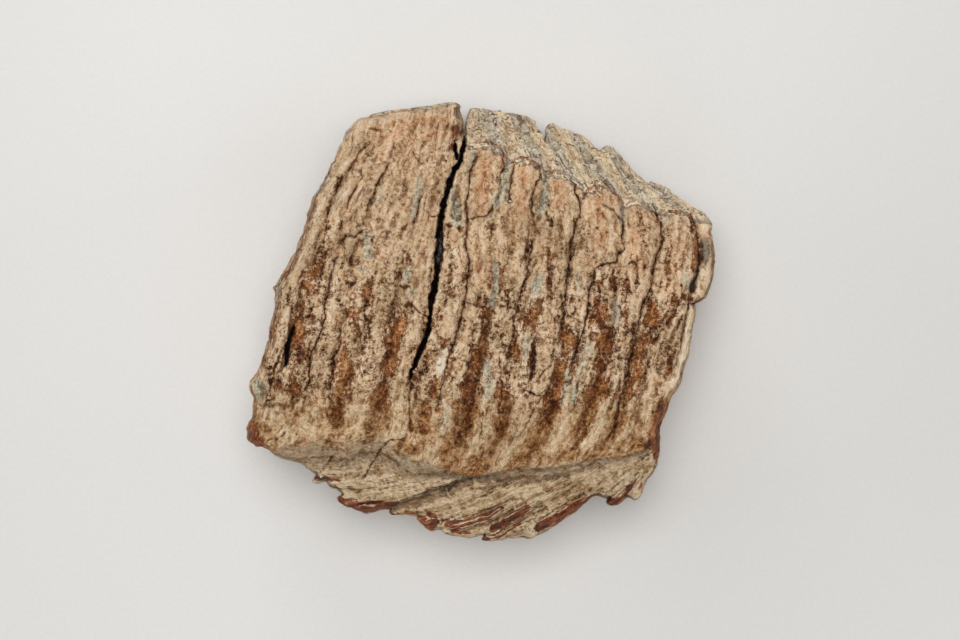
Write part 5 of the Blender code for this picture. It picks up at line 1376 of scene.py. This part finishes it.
    # dark stains, together with the painted shadow of the ledges and the crease
    blotch_and_shadow_m = m.ramp(total(blotch_and_shadow_a, around(small_n, 1.8), around(bark, 0.9), around(middle, 1.5)), 0.25, 0.95, 0.0, 0.85)
    blotch_and_shadow_c = m.mix(m.ramp(total(grit, around(small_n, 0.5)), 0.4, 0.6), linear(50, 35, 24), linear(108, 82, 58))
    colour = m.mix(blotch_and_shadow_m, colour, m.mix(m.ramp(blotch_and_shadow_a, 0.95, 1.3), blotch_and_shadow_c, m.mix(m.ramp(total(strand, around(small_n, 0.6)), 0.50, 0.66), linear(20, 18, 19), linear(92, 86, 82))))

    # darker in the hollows, as painted shade and dirt, and paler on the ridges, as painted highlight and wear
    colour = m.mix(m.math("MULTIPLY", m.ramp(hollow_a, 0.15, 1.3, 0.0, 0.54), m.math("SUBTRACT", 1.0, m.math("MULTIPLY", end_a, 0.55))), colour, m.mix(1.0, colour, linear(132, 98, 66), "MULTIPLY"))
    ridge_highlight_and_wear = m.math("MULTIPLY", m.math("MULTIPLY", m.ramp(hollow_a, -0.2, -1.3, 0.0, 0.26), m.ramp(covered, 0.3, 0.9)), m.math("SUBTRACT", 1.0, gloss_m))
    colour = m.mix(ridge_highlight_and_wear, colour, m.mix(1.0, colour, linear(226, 204, 172), "SCREEN"))
    colour = m.mix(m.math("MULTIPLY", hair, 0.5), colour, linear(66, 46, 32))

    # brown enamel edges at the plate tops, and the thin cracks
    frayed = total(around(small_n, 1.6), around(grit, 3.0))
    arc = m.ramp(total(m.math("ABSOLUTE", m.attribute("arc_over")), around(small_n, 4.0), around(middle, 3.0)), 1.7, 0.7)
    arc = m.math("MULTIPLY", arc, m.ramp(m.attribute("arc_away"), 3.4, 2.0))
    colour = m.mix(m.math("MULTIPLY", arc, m.ramp(total(middle, around(broad, 0.7)), 0.42, 0.54, 0.30, 0.85)), colour, m.mix(m.ramp(total(middle, around(small_n, 0.6)), 0.40, 0.58), linear(98, 52, 27), linear(166, 104, 62)))
    split = m.ramp(total(m.math("ABSOLUTE", m.math("ADD", m.attribute("crack_over"), around(grit, 2.0))), frayed), 1.25, 0.70)
    split = m.math("MULTIPLY", split, m.ramp(m.attribute("crack_away"), 2.6, 1.7))
    split = m.math("MULTIPLY", split, m.ramp(hole_a, 0.6, 0.2))
    colour = m.mix(m.math("MULTIPLY", split, 0.90), colour, m.mix(m.ramp(total(small_n, around(middle, 0.8)), 0.42, 0.60), linear(26, 19, 15), linear(78, 56, 42)))

    # painted shade: near black inside the deep cracks
    hole_m = m.ramp(total(hole_a, around(small_n, 1.2)), 0.40, 0.66)
    colour = m.mix(hole_m, colour, m.mix(m.ramp(small_n, 0.45, 0.66), linear(24, 18, 16), linear(70, 54, 44)))
    wedge = m.ramp(total(rubble_a, around(small_n, 1.6)), 0.35, 0.7)
    colour = m.mix(wedge, colour, m.stops(total(around(middle, 1.5), around(small_n, 2.5), 0.45), [(0.1, (22, 19, 20)), (0.45, (62, 54, 52)), (0.7, (128, 114, 102)), (1.0, (196, 180, 160))]))

    shader = m.new("ShaderNodeBsdfPrincipled")
    m.feed(shader.inputs["Base Color"], colour)
    roughness = m.ramp(covered, 0.0, 1.0, 0.66, 0.92, False)
    roughness = total(roughness, around(small_n, 0.4), m.math("MULTIPLY", m.math("SUBTRACT", 1.0, level_a), 0.2))
    roughness = m.math("SUBTRACT", roughness, m.math("MULTIPLY", m.math("MULTIPLY", m.math("MAXIMUM", gloss_m, wedge), level_a), 0.46))
    roughness = m.math("MINIMUM", m.math("MAXIMUM", roughness, 0.18), 0.95)
    m.feed(shader.inputs["Roughness"], roughness)
    shader.inputs["Specular IOR Level"].default_value = 0.18

    height = total(around(small_n, 1.0), around(bark, 0.9), around(strand, 0.3), around(grit, 0.5), m.math("MULTIPLY", covered, 0.24), around(flake, 0.5))
    height = m.math("SUBTRACT", height, m.math("MULTIPLY", hair, 0.45))
    height = m.math("SUBTRACT", height, m.math("MULTIPLY", m.math("MULTIPLY", chipped, end_a), 0.9))
    height = m.math("SUBTRACT", height, m.math("MULTIPLY", split, 1.1))
    height = m.math("ADD", height, m.math("MULTIPLY", arc, 0.25))
    height = m.math("SUBTRACT", height, m.math("MULTIPLY", hole_m, 0.6))
    height = m.math("MULTIPLY", height, m.ramp(gloss_m, 0.0, 1.0, 1.0, 0.18, False))
    bump = m.new("ShaderNodeBump")
    bump.inputs["Strength"].default_value = 1.0
    bump.inputs["Distance"].default_value = 0.00055
    m.feed(bump.inputs["Height"], height)
    m.feed(shader.inputs["Normal"], bump.outputs["Normal"])
    out = m.new("ShaderNodeOutputMaterial")
    m.feed(out.inputs["Surface"], shader.outputs[0])
    return material


made.materials.clear()
made.materials.append(tooth_finish())
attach(tooth, "root")
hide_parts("tooth")

# ------------------------------------------------------------------ floor, light, camera
bpy.ops.mesh.primitive_plane_add(size=6.0, location=(0, 0, -0.0002))
floor = bpy.context.object
floor.name = "floor"
paper = bpy.data.materials.new("paper")
p = Nodes(paper)
ps = p.new("ShaderNodeBsdfPrincipled")
where = p.new("ShaderNodeTexCoord").outputs["Object"]
# the floor is painted darker away from a point a little left of and above the middle: a painted fall-off of the light
# towards the corners
apart = p.new("ShaderNodeVectorMath", operation="DISTANCE")
p.feed(apart.inputs[0], where)
apart.inputs[1].default_value = (-0.034, 0.032, 0.0)
sheet_c = p.mix(p.ramp(p.noise(where, 900.0, 3.0), 0.3, 0.7), linear(222, 221, 219), linear(225, 224, 222))
p.feed(ps.inputs["Base Color"], p.mix(p.ramp(apart.outputs["Value"], 0.05, 0.21, 0.0, 1.0), sheet_c, p.mix(1.0, sheet_c, linear(243, 243, 242), "MULTIPLY")))
ps.inputs["Roughness"].default_value = 0.9
po = p.new("ShaderNodeOutputMaterial")
p.feed(po.inputs["Surface"], ps.outputs[0])
floor.data.materials.append(paper)
floor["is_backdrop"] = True

scene = bpy.context.scene
scene.view_settings.view_transform = "Standard"
scene.view_settings.look = "None"
world_light = bpy.data.worlds.new("studio")
scene.world = world_light
world_light.use_nodes = True
world_light.node_tree.nodes["Background"].inputs["Color"].default_value = (1.0, 0.996, 0.99, 1.0)
world_light.node_tree.nodes["Background"].inputs["Strength"].default_value = 0.30


def area_light(name, at, aim, size, power, colour=(1, 1, 1)):
    data = bpy.data.lights.new(name, "AREA")
    data.shape = "RECTANGLE"
    data.size, data.size_y = size
    data.energy = power
    data.color = colour
    thing = bpy.data.objects.new(name, data)
    thing.location = at
    from_to = np.array(aim) - np.array(at)
    from mathutils import Vector

    thing.rotation_euler = Vector(from_to).to_track_quat("-Z", "Y").to_euler()
    scene.collection.objects.link(thing)
    return thing


area_light("key", (-0.04, 0.17, 1.60), (0, 0, 0.02), (0.62, 0.62), 14.15, (1.0, 0.997, 0.992))
for name, x, y, z, power in (("north", -0.35, 1.5, 0.62, 6.0), ("west", -1.5, 0.1, 0.50, 6.6), ("east", 1.5, 0.1, 0.36, 6.6), ("south", -0.1, -1.5, 0.36, 5.8)):
    area_light(name, (x, y, z), (0, 0, 0.03), (0.9, 0.7), power)

camera_data = bpy.data.cameras.new("camera")
camera_data.sensor_width = 36.0
camera_data.lens = 36.0 * (EYE - DRAWN_AT) / (960 * UNIT)
camera_data.clip_end = 20.0
camera = bpy.data.objects.new("camera", camera_data)
camera.location = (SHIFT[0], SHIFT[1], EYE * 0.001)
scene.collection.objects.link(camera)
scene.camera = camera

bpy.context.view_layer.update()
lo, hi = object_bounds()
